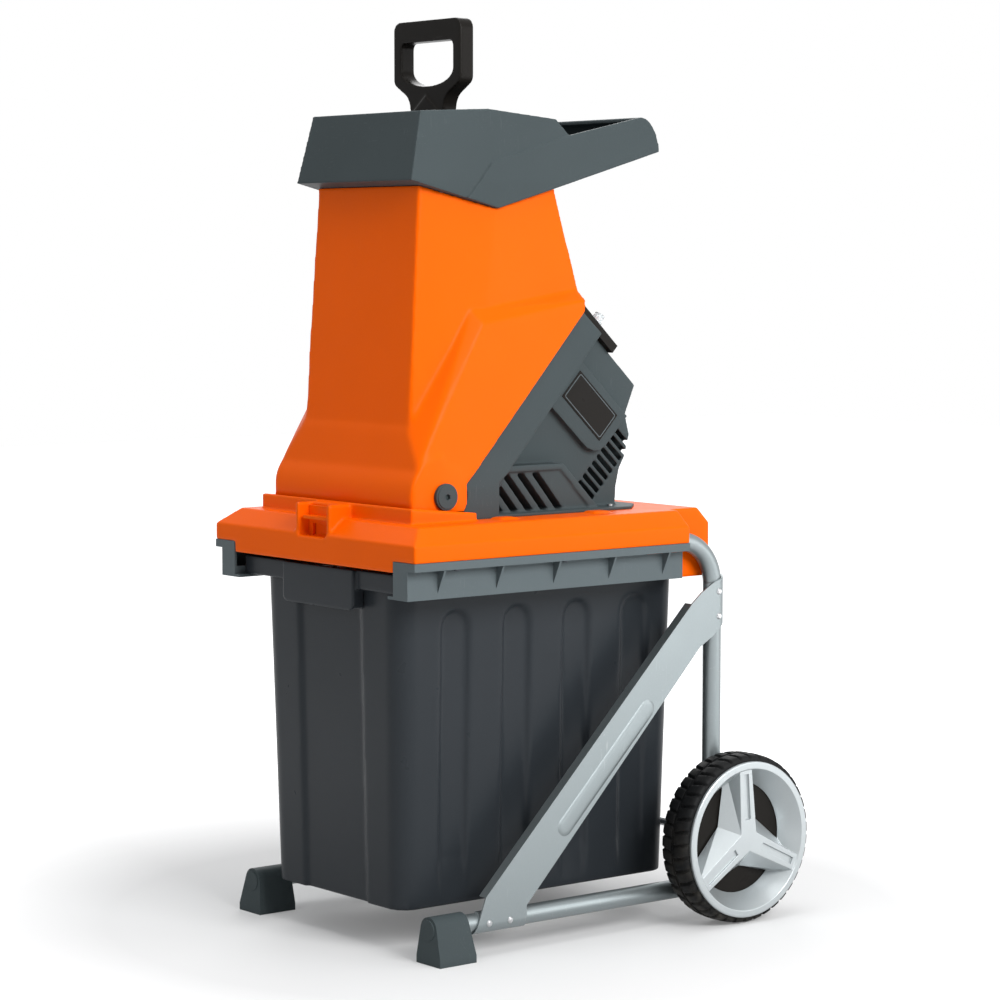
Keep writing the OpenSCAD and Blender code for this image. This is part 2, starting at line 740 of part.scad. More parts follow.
// Hopper

hopper_screw_points = [for (sx = [-1, 1]) for (dy = [34, 150]) [sx * (throat_hx + 3.5), shaft_top_y + dy]];

module hopper_sides(wall) prism_y([[wall - hopper_hx, vee[1] - 10], [wall - hopper_hx, hopper_z],
    [wall - hopper_hx + hopper_draw, hopper_top_z + 10], [hopper_hx - hopper_draw - wall, hopper_top_z + 10],
    [hopper_hx - wall, hopper_z], [hopper_hx - wall, vee[1] - 10]], hopper_y - 10, lip_end[0] + 10);

// Raised lower panels on the sides, from the vee up to the tray
module hopper_panels() intersection() {
    hopper_block();
    hopper_sides(-panel_t);
    prism_x([vee - [50, 5], vee + [-48, 12], vee + [-9, 56], notch, lip_top + [0, 5],
        [lip_end[0] + 5, lip_top[1] + 5], [lip_end[0] + 5, vee[1] - 5]], -hopper_hx - 9, hopper_hx + 9);
}

module hopper() color(GREY) difference() {
    union() {
        difference() {
            union() {
                intersection() {
                    hopper_block();
                    hopper_sides(0);
                }
                hopper_panels();
            }
            intersection() {
                prism_x(concat([[hopper_y + hopper_wall, hopper_z + hopper_wall], vee + [0, hopper_wall]],
                    lip_curve(lip_end + [-1.5 * hopper_wall, 1], lip_top - [hopper_wall, 1.5 * hopper_wall]),
                    [[lip_top[0] - hopper_wall, hopper_top_z + 20],
                    [hopper_y + 25 + hopper_wall, hopper_top_z + 20]]), -hopper_hx, hopper_hx);
                hopper_sides(hopper_wall);
            }
        }
        // ledges that carry the pusher's guard plate
        both_sides() intersection() {
            prism_y([[throat_hx + 1.5, ledge_z], [throat_hx + 1.5, ledge_z - 6],
                [hopper_hx - 8, ledge_z - 24], [hopper_hx, ledge_z - 24], [hopper_hx, ledge_z]],
                pusher_y - 32, pusher_y + 32);
            hopper_sides(1);
        }
    }
    block([-throat_hx, throat_y0, vee[1] - 20], [throat_hx, throat_y1, hopper_z + 30]);
    for (p = hopper_screw_points) translate([p[0], p[1], vee[1] - 20])
        cylinder(r = 2 + seat_gap, h = 80);
}

// Height of the hopper floor at a place along Y
function floor_z(y) = hopper_wall + (y < vee[0]
    ? hopper_z + (vee[1] - hopper_z) * (y - hopper_y) / (vee[0] - hopper_y)
    : vee[1] + (lip_end[1] - vee[1]) * (y - vee[0]) / (lip_end[0] - vee[0]));

module hopper_screws() color(STEEL) for (p = hopper_screw_points)
    translate([p[0], p[1], floor_z(p[1]) + 1.7]) {
        cylinder(r = 3.4, h = 2.6);
        translate([0, 0, -20]) cylinder(r = 1.9, h = 21);
    }

// Pusher

function arc_points(c, r, from, to, n) = [for (i = [0 : n])
    c + r * [cos(from + (to - from) * i / n), sin(from + (to - from) * i / n)]];
function mirrored(half) = concat(half, [for (i = [len(half) - 1 : -1 : 0]) [-half[i][0], half[i][1]]]);

// Grip outline: a rounded block that draws in to a neck with soft hollows
grip_x = handle_w / 2 - 13;
grip_low = handle_z - finger_h - 15;
module handle_outline() polygon(mirrored(concat(
    arc_points([grip_x, handle_z - 13], 13, 90, 0, 6), arc_points([grip_x, grip_low], 13, 0, -60, 5),
    arc_points([grip_x + 2, grip_low - 41.6], neck_r, 120, 180, 7),
    [[grip_x + 2 - neck_r, hopper_top_z - 5]])));

// Finger gap: straight sides with a bowed lower edge
module finger_outline() {
    low = handle_z - 27 - finger_h + 21;
    polygon(mirrored(concat(arc_points([finger_w / 2 - 8, handle_z - 27 - 8], 8, 90, 0, 4),
        [for (a = [0 : 10 : 80]) [finger_w / 2 * cos(a), low - 21 * sin(a)]])));
}

module pusher_handle() color(BLACK) translate([0, pusher_y, 0]) difference() {
    union() {
        rotate([90, 0, 0]) linear_extrude(handle_t, center = true) difference() {
            handle_outline();
            finger_outline();
        }
        prism_y([[-30, guard_z], [30, guard_z], [30, hopper_top_z + 2], [0, hopper_top_z + 24],
            [-30, hopper_top_z + 2]], -14, 14);
        prism_y([[-guard_hx, guard_z], [-guard_hx, guard_z + guard_t], [-34, guard_z + 3 * guard_t],
            [34, guard_z + 3 * guard_t], [guard_hx, guard_z + guard_t], [guard_hx, guard_z]], -28, 28);
    }
    for (sx = [-1, 1]) translate([sx * 18, 0, guard_z - 1]) cylinder(r = 2, h = 20);
}

module pusher_paddle() color(BLACK) translate([0, pusher_y, 0]) difference() {
    union() {
        block([-paddle_hx, -3, paddle_z], [paddle_hx, 3, guard_z]);
        block([-3, -paddle_hy, paddle_z], [3, paddle_hy, guard_z - 50]);
        block([-40, -12, guard_z - 6], [40, 12, guard_z]);
        block([-paddle_hx, -paddle_hy, paddle_z], [paddle_hx, paddle_hy, paddle_z + 6]);
    }
    for (sx = [-1, 1]) translate([sx * 18, 6, guard_z - 7]) cylinder(r = 1, h = 0.5);
    for (sx = [-1, 1]) translate([sx * 18, 0, guard_z - 30]) cylinder(r = 2 + seat_gap, h = 31);
    for (sx = [-1, 1]) translate([sx * 18, 0, guard_z - 30]) cylinder(r = 5, h = 24);
}

module pusher_screws() color(STEEL) for (sx = [-1, 1]) translate([sx * 18, pusher_y, guard_z]) {
    translate([0, 0, -9]) cylinder(r = 3.6, h = 3);
    translate([0, 0, -7]) cylinder(r = 1.9, h = 22);
}

// Motor housing

plate_screw_points = [for (sx = [-1, 1]) for (p = [[nose_hx - 34, 45], [housing_hx - 6, seam_l - 41]])
    [sx * p[0], p[1]]];
housing_screw_points = [for (sx = [-1, 1]) for (p = [[housing_hx + 15, 285], [60, 325]])
    [sx * p[0], pivot_y + p[1]]];
body_rear = [seam(ridge_u, ridge_l), seam(ridge_u - 38, ridge_l + 14), [pivot_y + 331, roof_z + 94],
    [pivot_y + 323, roof_z + 66], [pivot_y + 314, roof_z + 51], [pivot_y + 308, roof_z + 26],
    [pivot_y + 307, roof_z]];

module housing_band(wall) {
    w0 = wall > 0 ? -5 : seam_gap;
    intersection() {
        prism_x([[seam(0, w0)[0], roof_z - wall], seam(2, w0), seam(ridge_u - wall, w0),
            seam(ridge_u - wall, band_l - wall), seam(60, band_l - wall), [pivot_y + 90 - wall, roof_z + 42],
            [pivot_y + 90 - wall, roof_z - wall]], -nose_hx, nose_hx);
        prism_y([[wall + 4 - nose_hx, roof_z - wall - 1], [wall + 4 - nose_hx, seam_z],
            [wall + 4 - wing_hx(seam_z + 300), seam_z + 300],
            [wing_hx(seam_z + 300) - 4 - wall, seam_z + 300],
            [nose_hx - 4 - wall, seam_z], [nose_hx - 4 - wall, roof_z - wall - 1]],
            seam_y - 50, seam_y + 400);
    }
}

module housing_body(wall) prism_x(concat([[pivot_y + 60, roof_z - wall], seam(20, band_l - 20 - wall),
    seam(ridge_u - wall, band_l - 20 - wall)],
    [for (p = body_rear) p - [wall, p == body_rear[0] ? wall * 1.3 : (p[1] > roof_z ? wall / 2 : wall)]]),
    wall - housing_hx, housing_hx - wall);

module badge_pads() both_sides() motor_frame() translate([housing_hx - 5, 0, 0]) rotate([90, 0, 90])
    linear_extrude(5 + pad_t) polygon([[178, 4 - band_l], [254, 4 - band_l], [254, -ridge_l - 12],
        [202, -ridge_l - 11], [192, -ridge_l - 8], [184, -ridge_l - 1], [179, 11 - ridge_l]]);

module louvre_outline(inset) polygon([[pivot_y + 90, roof_z],
    [pivot_y + 90 + inset / 2, roof_z + louvre_h - 22 - inset],
    [pivot_y + 104 + inset / 2, roof_z + louvre_h - inset],
    [pivot_y + 202 - inset / 3, roof_z + louvre_h - inset],
    [pivot_y + 202 + louvre_h - 1.6 * inset, roof_z]]);

module louvre_blocks() both_sides() translate([housing_hx - 5, 0, 0]) rotate([90, 0, 90])
    linear_extrude(27) louvre_outline(0);

module louvre_slots() both_sides() intersection() {
    translate([housing_hx - 10, 0, 0]) rotate([90, 0, 90]) linear_extrude(42)
        translate([0, 5]) louvre_outline(15);
    for (i = [0 : louvre_n - 1])
        translate([housing_hx, pivot_y + 86 + i * 120 / louvre_n, roof_z + 24])
            rotate([-50, 0, 0]) translate([-12, -60, -4.5]) cube([52, 170, 9]);
}

// Shallow recess that leaves a raised frame round the slats
module louvre_recess() both_sides() translate([housing_hx + 19, 0, 0]) rotate([90, 0, 90])
    linear_extrude(10) translate([0, 4.5]) louvre_outline(12);

// Vent slots round the lower rear corner of the housing
module vent_slots() both_sides() for (i = [0 : vent_n - 1])
    motor_frame(142 + i * 100 / vent_n, -190) translate([housing_hx - 9, 0, 0]) cube([20, 6, 33]);

// Ledges inside the band that carry the motor plate
module plate_ledges() intersection() {
    housing_band(0);
    for (p = plate_screw_points) motor_frame(p[1] - 12, -plate_h - seam_gap - 16)
        translate([p[0] > 0 ? p[0] - 8 : -nose_hx, 0, 0]) cube([nose_hx - abs(p[0]) + 8, 24, 16]);
}

module motor_housing() color(GREY) difference() {
    union() {
        difference() {
            union() {
                housing_band(0);
                housing_body(0);
            }
            housing_band(housing_wall);
            housing_body(housing_wall);
        }
        plate_ledges();
        difference() {
            badge_pads();
            housing_body(housing_wall);
        }
        difference() {
            louvre_blocks();
            housing_body(housing_wall);
        }
        translate([0, 0, roof_z]) linear_extrude(4) polygon([[-rim_hx + 18, pivot_y + 90],
            [rim_hx - 18, pivot_y + 90], [rim_hx - 18, pivot_y + 308], [rim_hx - 52, pivot_y + 342],
            [52 - rim_hx, pivot_y + 342], [18 - rim_hx, pivot_y + 308]]);
        motor_frame(ridge_u, -boss_w1) translate([-14, -8, 0]) cube([28, 47, boss_w1 - seam_gap - 1]);
    }
    for (p = plate_screw_points) motor_frame(p[1], -plate_h - 16) translate([p[0], 0, 0])
        cylinder(r = 2.5, h = 20);
    louvre_slots();
    louvre_recess();
    vent_slots();
    rod_x(pivot_y, pivot_z, nose_tail_r + 1.5, -nose_hx, nose_hx);
    motor_frame(knob_u, -boss_w1 - 1) cylinder(r = stud_r + turn_fit, h = boss_w1 + 2);
    motor_frame(ridge_u - housing_wall - 1, -rocker_w) translate([rocker_x, 0, 0])
        translate([-9, 0, -rocker_l / 2]) cube([18, 12, rocker_l]);
    motor_frame(ridge_u - housing_wall - 1, -reset_w) translate([reset_x, 0, 0])
        rotate([-90, 0, 0]) cylinder(r = reset_r + slide_gap, h = 12);
    for (p = housing_screw_points) translate([p[0], p[1], roof_z - 1]) cylinder(r = 2 + seat_gap, h = 8);
    translate([-inlet_w / 2, pivot_y + 280, roof_z + 30]) cube([inlet_w, 60, inlet_h]);
}

module badge_plates() color(BLACK) both_sides() motor_frame() translate([housing_hx + pad_t, 0, 0])
    rotate([90, 0, 90]) linear_extrude(1)
        polygon([[199, -53], [243, -53], [243, 2 - ridge_l], [199, 2 - ridge_l]]);

module housing_screws() color(STEEL) {
    for (p = housing_screw_points) translate([p[0], p[1], roof_z]) {
        translate([0, 0, 4]) cylinder(r = 3.8, h = 2.6);
        translate([0, 0, -14]) cylinder(r = 1.9, h = 19);
    }
    for (p = plate_screw_points) motor_frame(p[1], -seam_gap - 3) translate([p[0], 0, 0]) {
        cylinder(r = 4.6, h = 2.6);
        translate([0, 0, -16]) cylinder(r = 2.4, h = 17);
    }
}

module inlet_socket() color(BLACK) translate([0, pivot_y + 318, roof_z + 30 + inlet_h / 2]) {
    difference() {
        union() {
            block([seat_gap - inlet_w / 2, -25, seat_gap - inlet_h / 2],
                [inlet_w / 2 - seat_gap, 5, inlet_h / 2 - seat_gap]);
            block([-inlet_w / 2 - 4, 4.5, -inlet_h / 2 - 4], [inlet_w / 2 + 4, 8, inlet_h / 2 + 4]);
        }
        block([3 - inlet_w / 2, -16, 3 - inlet_h / 2], [inlet_w / 2 - 3, 10, inlet_h / 2 - 3]);
    }
    for (p = [[-7, -3], [7, -3], [0, 4]]) block([p[0] - 1, -18, p[1] - 2], [p[0] + 1, 2, p[1] + 2]);
}

// Controls on the ridge

module ridge_plate(w0, w1, x0, x1, t) motor_frame(ridge_u, -w1)
    translate([x0, 0, 0]) cube([x1 - x0, t, w1 - w0]);

module switch_plate() color(BLACK) difference() {
    union() {
        ridge_plate(boss_w1 + knob_r + 12, panel_w1, -housing_hx - 8, housing_hx + 8, plate_t);
        both_sides() ridge_plate(panel_w0, panel_w1, knob_r + 8, housing_hx + 8, plate_t);
    }
    motor_frame(ridge_u, -rocker_w) translate([rocker_x - 7 - slide_gap, -1, -rocker_l / 2 - slide_gap])
        cube([14 + 2 * slide_gap, plate_t + 2, rocker_l + 2 * slide_gap]);
    motor_frame(ridge_u - 1, -reset_w) translate([reset_x, 0, 0]) rotate([-90, 0, 0])
        cylinder(r = reset_r + slide_gap, h = plate_t + 2);
    rocker_pin(1.2 + turn_fit);
}

// Rocker on a cross pin; its top is a shallow vee
module rocker_body() motor_frame(ridge_u + plate_t, -rocker_w) translate([rocker_x, 0, 0])
    rotate([0, 90, 0]) linear_extrude(14, center = true)
        polygon([[-rocker_l / 2 + 1, -1], [-rocker_l / 2 + 1, 2], [0, 0.8], [rocker_l / 2 - 1, 5],
            [rocker_l / 2 - 1, 0.5], [4, -5], [-4, -5]]);

module power_switch() color("#b3261e") {
    rocker_body();
    rocker_pin(1.2);
}

// The rocker's cross pin
module rocker_pin(r) motor_frame(ridge_u + plate_t - 3.5, -rocker_w) translate([rocker_x - 9, 0, 0])
    rotate([0, 90, 0]) cylinder(r = r, h = 18);

module reset_button() color("#b3261e") motor_frame(ridge_u - 2, -reset_w) translate([reset_x, 0, 0])
    rotate([-90, 0, 0]) {
        cylinder(r = reset_r, h = plate_t + 10);
        translate([0, 0, plate_t + 2.5 + reset_travel]) cylinder(r = reset_r + 0.8, h = 1.5);
    }

module reset_cap() color(CLEAR) motor_frame(ridge_u + plate_t, -reset_w) translate([reset_x, 0, 0])
    rotate([-90, 0, 0]) difference() {
        union() {
            cylinder(r = 9, h = 4);
            cylinder(r = 7, h = 14);
        }
        translate([0, 0, -1]) cylinder(r = reset_r + 1.2, h = 13);
    }

module tower_lock_knob() color(BLACK) motor_frame(knob_u) {
    translate([0, 0, -boss_w1 - 0.3 - 16]) difference() {
        cylinder(r = knob_r, h = 12);
        for (a = [0 : 60 : 300]) rotate(a) translate([knob_r + 3, 0, -1]) cylinder(r = 6, h = 14);
    }
    translate([0, 0, -boss_w1 - 4.8]) cylinder(r = 9, h = 4.5);
    translate([0, 0, -boss_w1 - 5]) cylinder(r = stud_r, h = boss_w1 + 17);
}

// Cutter

module motor_plate() color(STEEL) difference() {
    motor_frame(0, -plate_h - seam_gap) linear_extrude(plate_h)
        polygon([[22 - nose_hx, 22], [-housing_hx, seam_l - 14], [housing_hx, seam_l - 14],
            [nose_hx - 22, 22]]);
    motor_frame(spindle_u, -plate_h - 5) cylinder(r = bearing_r + seat_gap, h = 20);
    for (p = plate_screw_points) motor_frame(p[1], -plate_h - 5) translate([p[0], 0, 0]) {
        cylinder(r = 2.5 + seat_gap, h = 20);
        translate([0, 0, plate_h + 5 - seam_gap - 3]) cylinder(r = 5, h = 8);
    }
}

module gear_case() color(STEEL) motor_frame(0, case_back) {
    difference() {
        union() {
            translate([0, spindle_u, 0]) cylinder(r = gear_m * gear_n / 2 + 9, h = gear_case_h - seam_gap);
            translate([0, motor_u, 0]) cylinder(r = 24, h = gear_case_h - seam_gap);
        }
        translate([0, spindle_u, 8]) cylinder(r = gear_m * gear_n / 2 + 4, h = gear_case_h);
        translate([0, motor_u, 8]) cylinder(r = 19, h = gear_case_h);
        translate([0, spindle_u, -1]) cylinder(r = spindle_r + 6 + seat_gap, h = 20);
        translate([0, motor_u, -1]) cylinder(r = small_bearing_r + seat_gap, h = 20);
    }
}

module spindle() color(STEEL) motor_frame(spindle_u, case_back) difference() {
    union() {
        cylinder(r = spindle_r, h = hub_top - case_back);
        translate([0, 0, hub_top - case_back - 5]) cylinder(r = 20, h = 5);
    }
    translate([0, 0, hub_top - case_back - 30]) cylinder(r = 4, h = 31);
}

module spindle_bearings() color(STEEL) {
    motor_frame(spindle_u, -plate_h - seam_gap) ring(bearing_r, spindle_r + turn_fit, plate_h);
    motor_frame(spindle_u, case_back) ring(spindle_r + 6, spindle_r + turn_fit, bearing_t);
}

function gear_points(n, m, share) = [for (i = [0 : n - 1])
    for (k = [[-0.5, -1.1], [-0.32, 0.75], [0.32, 0.75], [0.5, -1.1]])
    let (a = 360 * (i + k[0] * share) / n, r = m * (n / 2 + k[1])) [r * cos(a), r * sin(a)]];

module spindle_gear() color(STEEL) motor_frame(spindle_u, gear_top - gear_t) difference() {
    linear_extrude(gear_t) polygon(gear_points(gear_n, gear_m, 0.5));
    translate([0, 0, -1]) cylinder(r = spindle_r + seat_gap, h = gear_t + 2);
    for (a = [0 : 60 : 300]) rotate(a) translate([0.31 * gear_m * gear_n, 0, -1])
        cylinder(r = 6, h = gear_t + 2);
}

module pinion() color(STEEL) motor_frame(motor_u, gear_top - gear_t - 1) difference() {
    rotate(-90 + 180 / pinion_n) linear_extrude(gear_t + 2) polygon(gear_points(pinion_n, gear_m, 0.5));
    translate([0, 0, -1]) cylinder(r = shaft_r + seat_gap, h = gear_t + 4);
}

module blade_places() for (a = [0, 180]) rotate(a) translate([disc_r * 0.56, 0, 0]) children();

module cutter_disc() color(STEEL) motor_frame(spindle_u, hub_top) difference() {
    cylinder(r = disc_r, h = disc_t);
    translate([0, 0, -1]) cylinder(r = 5 + seat_gap, h = disc_t + 2);
    blade_places() for (x = [-16, 16]) translate([x, 6, -1]) cylinder(r = 3 + seat_gap, h = disc_t + 2);
    blade_places() translate([-disc_r * 0.3, -22, -1]) cube([disc_r * 0.6, 9, disc_t + 2]);
}

module blades() color(BRIGHT) motor_frame(spindle_u, disc_top) blade_places() difference() {
    rotate([90, 0, 90]) linear_extrude(disc_r * 0.74, center = true)
        polygon([[-16, 0.1], [-10, blade_t], [14, blade_t], [20, 0.1]]);
    for (x = [-16, 16]) translate([x, 6, -1]) cylinder(r = 3 + seat_gap, h = blade_t + 2);
}

module blade_screws() color(BLACK) motor_frame(spindle_u, hub_top) blade_places() for (x = [-16, 16])
    translate([x, 6, 0]) {
        cylinder(r = 3, h = disc_t + blade_t);
        translate([0, 0, disc_t + blade_t]) cylinder(r = 5, h = 2.5);
    }

module disc_bolt() color(BLACK) motor_frame(spindle_u, disc_top) {
    cylinder(r = 13, h = 2);
    translate([0, 0, 2]) cylinder(r = 9, h = 6, $fn = 6);
    translate([0, 0, -disc_t - 20]) cylinder(r = 4 - seat_gap, h = disc_t + 21);
}

// Motor

module motor_stator() color("#6d6f70") motor_frame(motor_u, stator_back) difference() {
    cylinder(r = stator_r, h = stator_l);
    translate([0, 0, -1]) cylinder(r = rotor_r + 0.6, h = stator_l + 2);
    for (a = [0, 180]) rotate(a) translate([rotor_r + 6, -16, -1]) cube([10, 32, stator_l + 2]);
}

module motor_shaft() color(STEEL) motor_frame(motor_u, bracket_top - bracket_t)
    cylinder(r = shaft_r, h = gear_top + 4 - bracket_top + bracket_t);

module rotor_core() color("#7a5a3c") motor_frame(motor_u, stator_back + 2) difference() {
    cylinder(r = rotor_r, h = stator_l - 4);
    translate([0, 0, -1]) cylinder(r = shaft_r + seat_gap, h = stator_l);
    for (a = [0 : 30 : 330]) rotate(a) translate([rotor_r - 3, -1, -1]) cube([4, 2, stator_l]);
}

module commutator() color(COPPER) motor_frame(motor_u, stator_back - 14) ring(16, shaft_r + seat_gap, 12);

module cooling_fan() color(BLACK) motor_frame(motor_u, fan_top - fan_t) difference() {
    union() {
        cylinder(r = 12, h = fan_t);
        cylinder(r = 40, h = 2);
        for (a = [0 : 40 : 320]) rotate(a) translate([10, -1, 0]) cube([30, 2, fan_t]);
    }
    translate([0, 0, -1]) cylinder(r = shaft_r + seat_gap, h = fan_t + 2);
}

module motor_bearings() color(STEEL) {
    motor_frame(motor_u, case_back) ring(small_bearing_r, shaft_r + turn_fit, bearing_t);
    motor_frame(motor_u, bracket_top - bracket_t) ring(11, shaft_r + turn_fit, bracket_t);
}

// Four posts tie the rear bearing, the stator and the gear case together
module motor_bracket() color(STEEL) motor_frame(motor_u) difference() {
    union() {
        translate([0, 0, bracket_top - bracket_t]) {
            cylinder(r = 17, h = bracket_t);
            for (a = [45, 135]) rotate(a) translate([-stator_r, -6, 0]) cube([2 * stator_r, 12, 4]);
        }
        for (a = [45 : 90 : 315]) rotate(a) translate([stator_r - 5, 0, bracket_top - bracket_t])
            cylinder(r = 4.5, h = stator_back - bracket_top + bracket_t);
        for (a = [45, 135, 225, 315]) rotate(a) translate([stator_r - 5, 0, stator_top])
            cylinder(r = 3, h = case_back - stator_top);
        translate([0, 0, case_back - 2]) difference() {
            cylinder(r = stator_r, h = 2);
            translate([0, 0, -1]) cylinder(r = 42, h = 4);
        }
    }
    translate([0, 0, bracket_top - bracket_t - 1]) cylinder(r = 11 + seat_gap, h = bracket_t + 2);
}

module brush_holders() color("#a58a3a") motor_frame(motor_u, stator_back - 14) for (a = [0, 180]) rotate(a)
    translate([16.4, -4, 2]) cube([20, 8, 11.8]);

// Frame

module tube_path(r) {
    rod_y(tube_x, tube_low_z, r, foot_y + 10, axle_y - bend_r);
    translate([tube_x, axle_y - bend_r, tube_low_z + bend_r]) rotate([90, 0, 90]) rotate(-90)
        rotate_extrude(angle = 90) translate([bend_r, 0]) circle(r = r);
    translate([tube_x, axle_y, tube_low_z + bend_r])
        cylinder(r = r, h = tube_top_z - tube_low_z - 2 * bend_r);
    translate([tube_x, axle_y - bend_r, tube_top_z - bend_r]) rotate([90, 0, 90])
        rotate_extrude(angle = 90) translate([bend_r, 0]) circle(r = r);
    rod_y(tube_x, tube_top_z, r, wing_y - socket_l, axle_y - bend_r);
}

module frame_tube() color(SILVER) difference() {
    tube_path(tube_r);
    tube_path(tube_r - tube_wall);
    rod_x(axle_y, wheel_r, axle_r + seat_gap, tube_x - 20, tube_x + 20);
    for (p = concat(low_rivets, top_rivets)) rod_x(p[0], p[1], rivet_r + seat_gap, tube_x, tube_x + 20);
}

module right_frame_tube() frame_tube();
module left_frame_tube() left_side() frame_tube();

top_y = axle_y + tube_r + brace_t;
brace_points = [[brace_low_y, tube_low_z - tube_r], [brace_low_y + 13, tube_low_z + 22],
    [brace_low_y + 17, tube_low_z + 33], [axle_y - 47, tube_top_z - 81], [axle_y - 31, tube_top_z - 68],
    [axle_y - tube_r, tube_top_z - 57], [top_y, tube_top_z - 47], [top_y, tube_top_z - 106],
    [axle_y - tube_r, tube_top_z - 126], [axle_y - 33, tube_top_z - 138],
    [brace_low_y + brace_low_l, tube_low_z + 15], [brace_low_y + brace_low_l, tube_low_z - tube_r]];

// Strip along one edge of the brace, folded towards the bin
module brace_edge(a, b) {
    along = (b - a) / norm(b - a);
    inward = [along[1], -along[0]] * brace_t;
    prism_x([a, b, b + inward, a + inward], brace_x - brace_fold, brace_x + 0.5);
}

module brace() color(SILVER) difference() {
    union() {
        difference() {
            prism_x(brace_points, brace_x, brace_x + brace_t);
            block([brace_x - 1, axle_y, tube_top_z - 200], [brace_x + 9, axle_y + 60, tube_top_z]);
            block([brace_x - 1, brace_low_y - 5, 0], [brace_x + 9, brace_low_y + 200, tube_low_z]);
        }
        intersection() {
            translate([tube_x, axle_y, tube_top_z - 200]) cylinder(r = tube_r + brace_t + 0.15, h = 200);
            prism_x(brace_points, tube_x, brace_x + brace_t);
        }
        intersection() {
            rod_y(tube_x, tube_low_z, tube_r + brace_t + 0.15, brace_low_y, brace_low_y + 200);
            prism_x(brace_points, tube_x, brace_x + brace_t);
        }
        brace_edge(brace_points[2], brace_points[3]);
        brace_edge(brace_points[9], brace_points[10]);
    }
    translate([tube_x, axle_y, tube_top_z - 220]) cylinder(r = tube_r + 0.15, h = 260);
    rod_y(tube_x, tube_low_z, tube_r + 0.15, brace_low_y - 20, brace_low_y + 220);
    for (p = concat(low_rivets, top_rivets)) rod_x(p[0], p[1], rivet_r + seat_gap, tube_x, tube_x + 40);
}

module right_brace() brace();
module left_brace() left_side() brace();

module brace_rivets() color(BRIGHT) both_sides() for (p = concat(low_rivets, top_rivets)) {
    rod_x(p[0], p[1], rivet_r, brace_x - 6, brace_x + brace_t + 0.5);
    translate([brace_x + brace_t, p[0], p[1]]) rotate([0, 90, 0]) cylinder(r1 = 4.5, r2 = 2.5, h = 2);
}

module foot() color(GREY) difference() {
    union() {
        hull() {
            block([tube_x + 3 - foot_w / 2, foot_y, 0], [tube_x + 3 + foot_w / 2, foot_y + foot_l, 9]);
            translate([tube_x, foot_y + foot_l - 3, tube_low_z]) rotate([90, 0, 0])
                cylinder(r = tube_r + 4.5, h = foot_l - 6, $fn = 32);
        }
        rod_y(tube_x, tube_low_z, tube_r + 1, foot_y + 0.6, foot_y + 6);
    }
    rod_y(tube_x, tube_low_z, tube_r + seat_gap, foot_y + 10 - seat_gap, foot_y + foot_l + 1);
}

module right_foot() foot();
module left_foot() left_side() foot();

// Wheels

module axle() color(STEEL) rod_x(axle_y, wheel_r, axle_r, -axle_end_x, axle_end_x);

module ring_x(x0, x1, r_out, r_in) difference() {
    rod_x(axle_y, wheel_r, r_out, x0, x1);
    rod_x(axle_y, wheel_r, r_in, x0 - 1, x1 + 1);
}

module axle_spacers() color(BLACK) both_sides()
    ring_x(tube_x + tube_r + seat_gap, hub_x0 - slide_gap, axle_r + 5, axle_r + seat_gap);

module axle_clips() color(STEEL) both_sides()
    ring_x(hub_x1 + slide_gap, hub_x1 + 3.5, axle_r + 5, axle_r + seat_gap);

// Tread row: each block has a middle point so that the wheel's lowest point is its true radius
function tread_points(phase) = [for (i = [0 : tread_n - 1])
    for (k = [[-0.31, 0], [0, 0], [0.31, 0], [0.37, tread_d], [0.63, tread_d]])
        let (a = 360 * (i + k[0] + phase) / tread_n, r = wheel_r - k[1]) [r * cos(a), r * sin(a)]];

module tread_row(x0, x1, phase) translate([x0, axle_y, wheel_r]) rotate([90, 0, 90])
    linear_extrude(x1 - x0) polygon(tread_points(phase));

module tyre() color("#1b1b1c") difference() {
    union() {
        tread_row(wheel_x, wheel_x + tyre_w / 2 - 1.5, 0);
        rod_x(axle_y, wheel_r, wheel_r - tread_d, wheel_x + 1, tyre_x1 - 1);
        tread_row(wheel_x + tyre_w / 2 + 1.5, tyre_x1, 0.5);
    }
    rod_x(axle_y, wheel_r, rim_r, wheel_x - 1, tyre_x1 + 1);
}

module right_tyre() tyre();
module left_tyre() left_side() tyre();

module turned_x(points) translate([0, axle_y, wheel_r]) rotate([0, 90, 0]) rotate_extrude() polygon(points);

module wheel_disc() color(BLACK) difference() {
    union() {
        ring_x(wheel_x + 3, dish_x + 8, rim_r - seat_gap, rim_r - 4);
        ring_x(dish_x - 5, dish_x - 1, rim_r - 2, hub_r - 2);
        rod_x(axle_y, wheel_r, hub_r, hub_x0, hub_x1);
    }
    rod_x(axle_y, wheel_r, axle_r + turn_fit, hub_x0 - 1, hub_x1 + 1);
}

module right_wheel_disc() wheel_disc();
module left_wheel_disc() left_side() wheel_disc();

// Outline of the three spokes at one depth: two tip corners and the waist after them for each spoke
function spoke_ring(x, waist, tip, half) = [for (a = [-26, 94, 214])
    for (p = [[tip, -half], [tip, half], [waist * 0.5, waist * 0.866]])
        [x, p[0] * cos(a) - p[1] * sin(a), p[0] * sin(a) + p[1] * cos(a)]];

// Three broad spokes in one body, wider at the back than at the front
module spokes() polyhedron(concat(spoke_ring(dish_x + 1, 38, rim_r + 5, 16),
    spoke_ring(trim_x1 - 2, 15, rim_r + 5, 10)),
    concat([[2, 5, 8], [17, 14, 11]],
        [for (k = [0 : 2]) [(3 * k + 8) % 9, 3 * k, 3 * k + 1, 3 * k + 2]],
        [for (k = [0 : 2]) [3 * k + 11, 3 * k + 10, 3 * k + 9, (3 * k + 8) % 9 + 9]],
        [for (i = [0 : 8]) [i, i + 9, (i + 1) % 9 + 9]],
        [for (i = [0 : 8]) [i, (i + 1) % 9 + 9, (i + 1) % 9]]));

